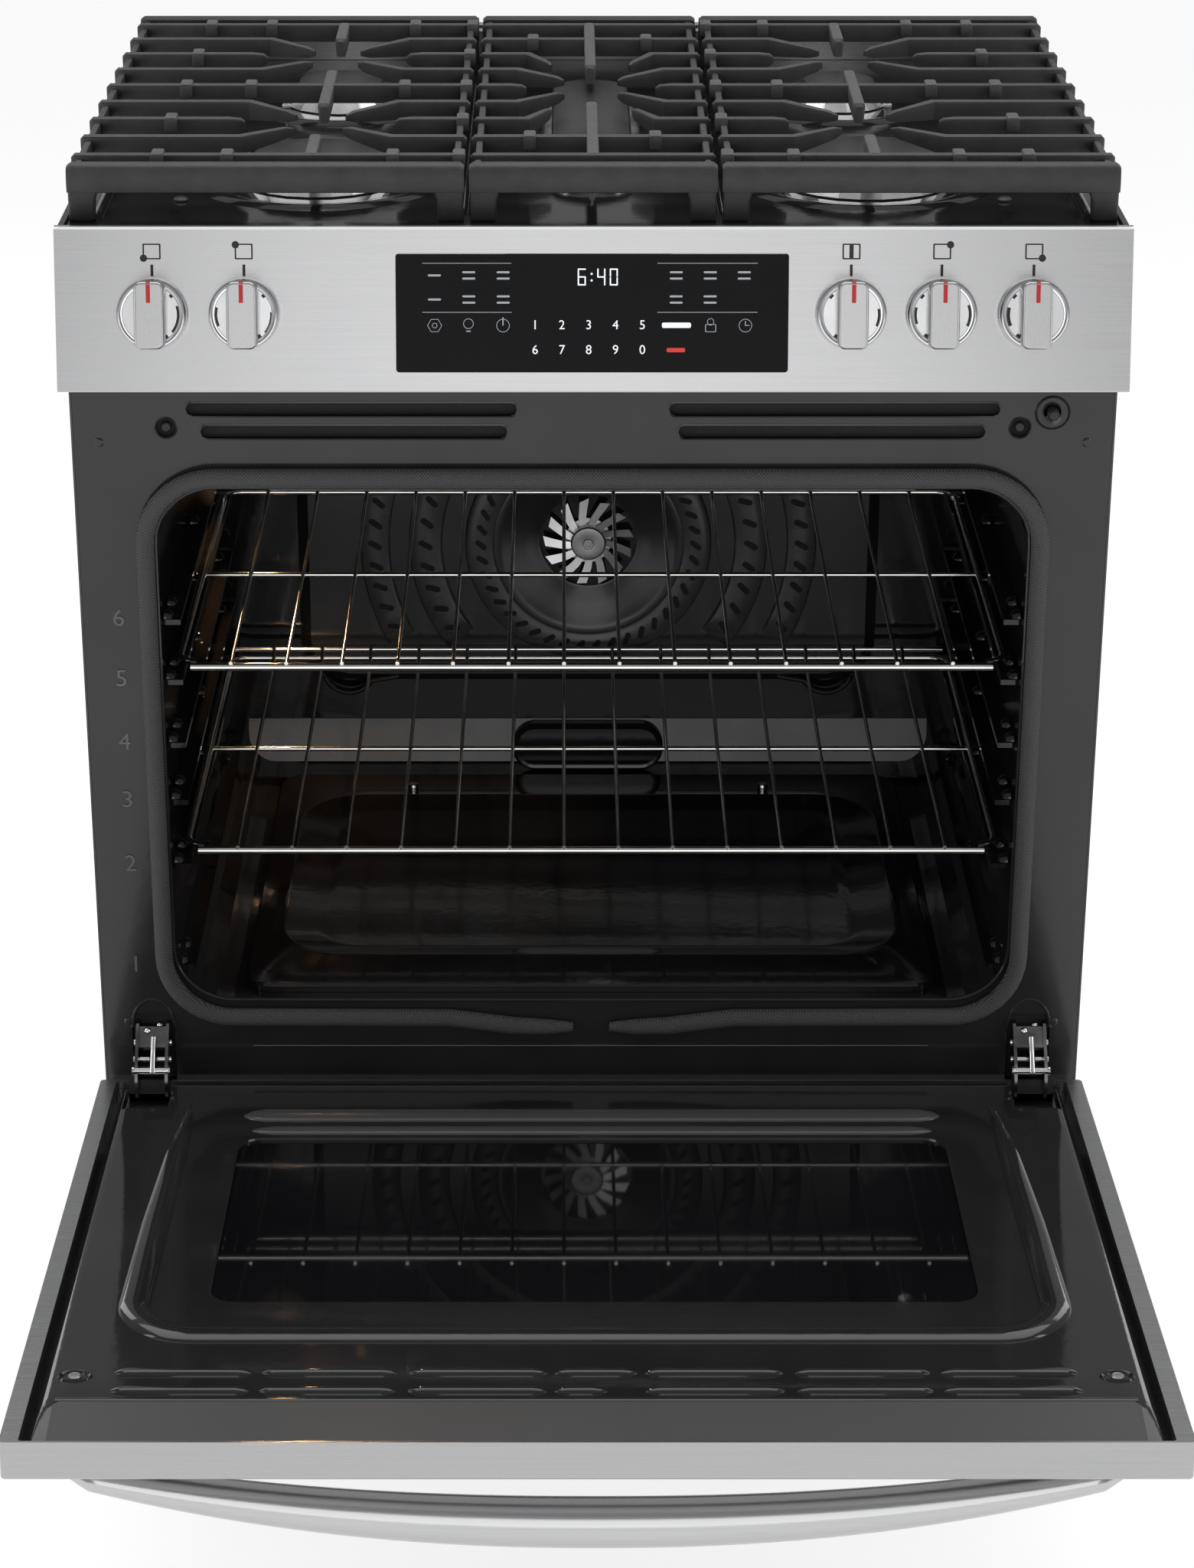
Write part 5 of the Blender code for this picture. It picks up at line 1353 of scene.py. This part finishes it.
def hinge_claws():
    """The formed hinge arms: a channel with a sunk web, a hooked nose, a link and rivets."""
    pivot_y, pivot_z = -0.02475, 0.224
    top = [(0.046, 0.2600), (0.008, 0.2685), (-0.004, 0.2690), (-0.0100, 0.2640), (-0.0150, 0.2560)]
    top += [(-0.0205, 0.2520), (-0.0265, 0.2440), (-0.0305, 0.2350), (pivot_y - 0.0080, pivot_z + 0.0060)]
    under = [(pivot_y - 0.0065, pivot_z - 0.0040), (pivot_y, pivot_z - 0.0085)]
    under += [(pivot_y + 0.012, pivot_z - 0.006), (0.014, 0.236), (0.046, 0.237)]
    web = [(0.046, 0.2570), (0.008, 0.2655), (-0.0030, 0.2660), (-0.0085, 0.2615), (-0.0140, 0.2535)]
    web += [(-0.0115, 0.2500), (0.014, 0.2500), (0.046, 0.2500)]
    link = [(-0.0100, 0.2600), (-0.0165, 0.2530), (-0.0225, 0.2475), (-0.0285, 0.2390)]
    for name, x in (("hinge_arm_left", -HINGE_X), ("hinge_arm_right", HINGE_X)):
        bm, shiny = bmesh.new(), bmesh.new()
        for cheek in (-0.0128, 0.0104):
            slab(bm, "X", top + under, x + cheek, x + cheek + 0.0024)
        slab(bm, "X", web, x - 0.0108, x + 0.0108)
        body_piece(name, bm, "hinge_steel", replaces=[name])
        tube(shiny, [(x + 0.0010, y, z) for y, z in link], 0.0026, (1, 0, 0), 12)
        for y, z, radius in ((-0.0270, 0.2400, 0.0028), (-0.0150, 0.2440, 0.0020), (-0.0070, 0.2545, 0.0022)):
            at = Matrix.Translation((x - 0.0146, y, z)) @ Matrix.Rotation(math.pi / 2, 4, "Y")
            rivet = [(radius * 0.5, -0.0006), (radius * 1.2, 0.0), (radius * 1.3, 0.0014)]
            rivet += [(radius, 0.0020), (radius, 0.0272), (radius * 1.3, 0.0278)]
            rivet += [(radius * 1.2, 0.0292), (radius * 0.5, 0.0298)]
            lathe(shiny, rivet, 18, at)
        for side, y, z in ((-0.004, -0.0060, 0.2648), (0.005, 0.0010, 0.2662)):
            at = Matrix.Translation((x + side, y, z - 0.0008)) @ Matrix.Rotation(math.radians(30), 4, "X")
            lathe(shiny, [(0.0026, 0.0), (0.0026, 0.0012), (0.0016, 0.0022), (0.0004, 0.0024)], 14, at)
        body_piece(name + "_pins", shiny, "chrome")


def hinge_slots():
    """The arch pressed over each hinge and the rib between them, and blocks of painted shade behind the
    hinges' slots.
    """
    bm, dark = bmesh.new(), bmesh.new()
    for x in (-HINGE_X, HINGE_X):
        turns = [math.pi * step / 12 for step in range(13)]
        arch = [(x + 0.0165 * math.cos(turn), 0.0004, 0.2640 + 0.0240 * math.sin(turn)) for turn in turns]
        tube(bm, arch, 0.0014, INWARD, 10)
        soft_block(dark, (x - 0.0162, 0.0032, 0.2190), (x + 0.0162, 0.0050, 0.2750), 0.0004, 1)
    tube(bm, [(-0.262, 0.0002, 0.2480), (0.262, 0.0002, 0.2480)], 0.0016, INWARD, 12)
    body_piece("frame_pressings", bm, "frame_enamel")
    body_piece("hinge_slot_painted_shade", dark, "painted_shade")


# ------------------------------------------------------------------------------------------------------ back


def back_details():
    """Behind: hex screws round the cover, the gas inlet, and the terminal cover for the power lead."""
    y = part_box("back_panel")[1].y
    hex_head = [(0.0062, 0.0), (0.0062, 0.0008), (0.0042, 0.0009), (0.0042, 0.0034), (0.0034, 0.0040)]
    places = [(x, z) for x in (-0.360, -0.120, 0.120, 0.360) for z in (0.070, 0.870)]
    places += [(x, z) for x in (-0.365, 0.365) for z in (0.250, 0.430, 0.620)]
    bm = bmesh.new()
    for x, z in places:
        lathe(bm, hex_head, 6, Matrix.Translation((x, y, z)) @ FACE_BACK)
    body_piece("back_screws", bm, "zinc", WORLD)
    bm = bmesh.new()
    fitting = [(0.0105, 0.0), (0.0105, 0.024), (0.0090, 0.0250), (0.0075, 0.0250), (0.0072, 0.010)]
    lathe(bm, fitting, 36, Matrix.Translation((0.300, y - 0.020, 0.100)) @ FACE_BACK)
    body_piece("gas_inlet", bm, "brass", WORLD)
    bm = bmesh.new()
    soft_block(bm, (-0.330, y - 0.001, 0.120), (-0.230, y + 0.0060, 0.200), 0.0025, 3)
    body_piece("terminal_cover", bm, "zinc", WORLD)


# ----------------------------------------------------------------------------------------------------- stage


def make_floor():
    tree, shader = new_material("floor", (0.42, 0.42, 0.42), 0.9)
    vary_colour(tree, noise(tree, 2.0), shader.inputs["Base Color"], (0.41, 0.41, 0.41), (0.43, 0.43, 0.43))
    shader.inputs["Specular IOR Level"].default_value = 0.0
    shader.inputs["Emission Color"].default_value = (1.0, 1.0, 1.0, 1.0)
    shader.inputs["Emission Strength"].default_value = 0.80
    bm = bmesh.new()
    bmesh.ops.create_grid(bm, x_segments=1, y_segments=1, size=40.0)
    mesh = bpy.data.meshes.new("floor")
    bm.to_mesh(mesh)
    bm.free()
    mesh.materials.append(MATERIALS["floor"])
    floor = bpy.data.objects.new("floor", mesh)
    bpy.context.scene.collection.objects.link(floor)


def make_world():
    """A white horizon all round, under a pale wall and a dimmer ceiling."""
    world = bpy.data.worlds.new("studio")
    world.use_nodes = True
    tree = world.node_tree
    backdrop = tree.nodes["Background"]
    backdrop.inputs["Color"].default_value = (0.98, 0.99, 1.0, 1.0)
    coords = tree.nodes.new("ShaderNodeTexCoord")
    split = tree.nodes.new("ShaderNodeSeparateXYZ")
    fade = tree.nodes.new("ShaderNodeValToRGB")
    fade.color_ramp.interpolation = "EASE"
    stops = fade.color_ramp.elements
    (floor_line, *between, ceiling), greys = (0.0, 0.055, 0.09, 0.20), (0.98, 0.62, 0.59, 0.32)
    stops[0].position, stops[1].position = floor_line, ceiling
    for rise in between:
        stops.new(rise)
    for stop, grey in zip(stops, greys):
        stop.color = (grey, grey, grey, 1.0)
    tree.links.new(coords.outputs["Generated"], split.inputs["Vector"])
    tree.links.new(split.outputs["Z"], fade.inputs["Fac"])
    tree.links.new(fade.outputs["Color"], backdrop.inputs["Strength"])
    bpy.context.scene.world = world


def make_lights():
    """Soft boxes overhead, in front and at the sides, and the oven's own lamp."""
    add_area_light("overhead", (0.0, 0.8, 2.8), (0, 0.0, 0.6), (3.4, 2.2), 44.0)
    add_area_light("front", (0.0, -4.2, 1.45), (0, 0, 0.55), (1.7, 2.3), 15.0)
    for name, side in (("left", -1), ("right", 1)):
        add_area_light(name, (side * 2.8, -0.9, 1.5), (0, -0.2, 0.4), (0.45, 2.2), 11.0)
        add_area_light("rear_" + name, (side * 1.75, 2.2, 1.45), (side * 0.3, -0.5, 0.3), (0.5, 1.4), 5.0)
    lamp_x, lamp_z = -0.276, 0.664
    add_lamp_beam("lamp_down", (lamp_x, 0.330, lamp_z), (-9, -6, 0), 76, 2.0)
    add_lamp_beam("lamp_along", (lamp_x, 0.370, lamp_z), (-78, 0, 14), 32, 2.2)


def add_light(name, kind, place, turn, energy):
    light = bpy.data.lights.new(name, kind)
    light.energy = energy
    obj = bpy.data.objects.new(name, light)
    obj.location = place
    obj.rotation_euler = turn
    bpy.context.scene.collection.objects.link(obj)
    return light


def add_lamp_beam(name, place, turn, spread, energy):
    """Part of the oven lamp's warm light. Turn and spread are in degrees."""
    light = add_light(name, "SPOT", BODY @ Vector(place), [math.radians(angle) for angle in turn], energy)
    light.color = (1.0, 0.56, 0.25)
    light.shadow_soft_size = 0.010
    light.spot_size = math.radians(spread)
    light.spot_blend = 0.4


def add_area_light(name, place, target, size, energy):
    turn = (Vector(target) - Vector(place)).to_track_quat("-Z", "Y").to_euler()
    light = add_light(name, "AREA", place, turn, energy)
    light.shape = "RECTANGLE"
    light.size, light.size_y = size


def make_camera():
    """Above and in front of the open door, looking down into the oven."""
    distance, height, down = 2.571, 1.571, 0.405
    camera = bpy.data.cameras.new("camera")
    camera.lens = 85.3
    camera.shift_x = 0.0214
    obj = bpy.data.objects.new("camera", camera)
    obj.location = (-0.0213, FRONT_Y - distance, height)
    obj.rotation_euler = (math.pi / 2 - down, 0, 0)
    bpy.context.scene.collection.objects.link(obj)
    bpy.context.scene.camera = obj
    bpy.context.scene.view_settings.view_transform = "Standard"


# ------------------------------------------------------------------------------------------------ the scene


dress_cad_nodes()
side_grate("grate_left", "left_grate", -1)
side_grate("grate_right", "right_grate", 1)
centre_grate()
for burner_name, burner_radius, spark in (
    ("front_left", 0.050, 150),
    ("front_right", 0.057, 30),
    ("rear_left", 0.034, 200),
    ("rear_right", 0.029, -20),
):
    round_burner(burner_name, burner_radius, spark)
centre_burner()
cooktop_details()
for knob_name, knob_x in KNOBS.items():
    make_knob(knob_name, knob_x)
panel_print()
display_graphics()
frame_slots()
frame_details()
gasket()
wire_rack("rack_lower", "lower_rack", RACK_LEVELS[1])
wire_rack("rack_upper", "upper_rack", RACK_LEVELS[4])
convection_cover()
fan_wheel()
back_wall_details()
wall_studs()
oven_floor()
door_liner()
door_handle()
door_outer_glass()
hinge_claws()
hinge_slots()
back_details()
make_floor()
make_world()
make_lights()
make_camera()
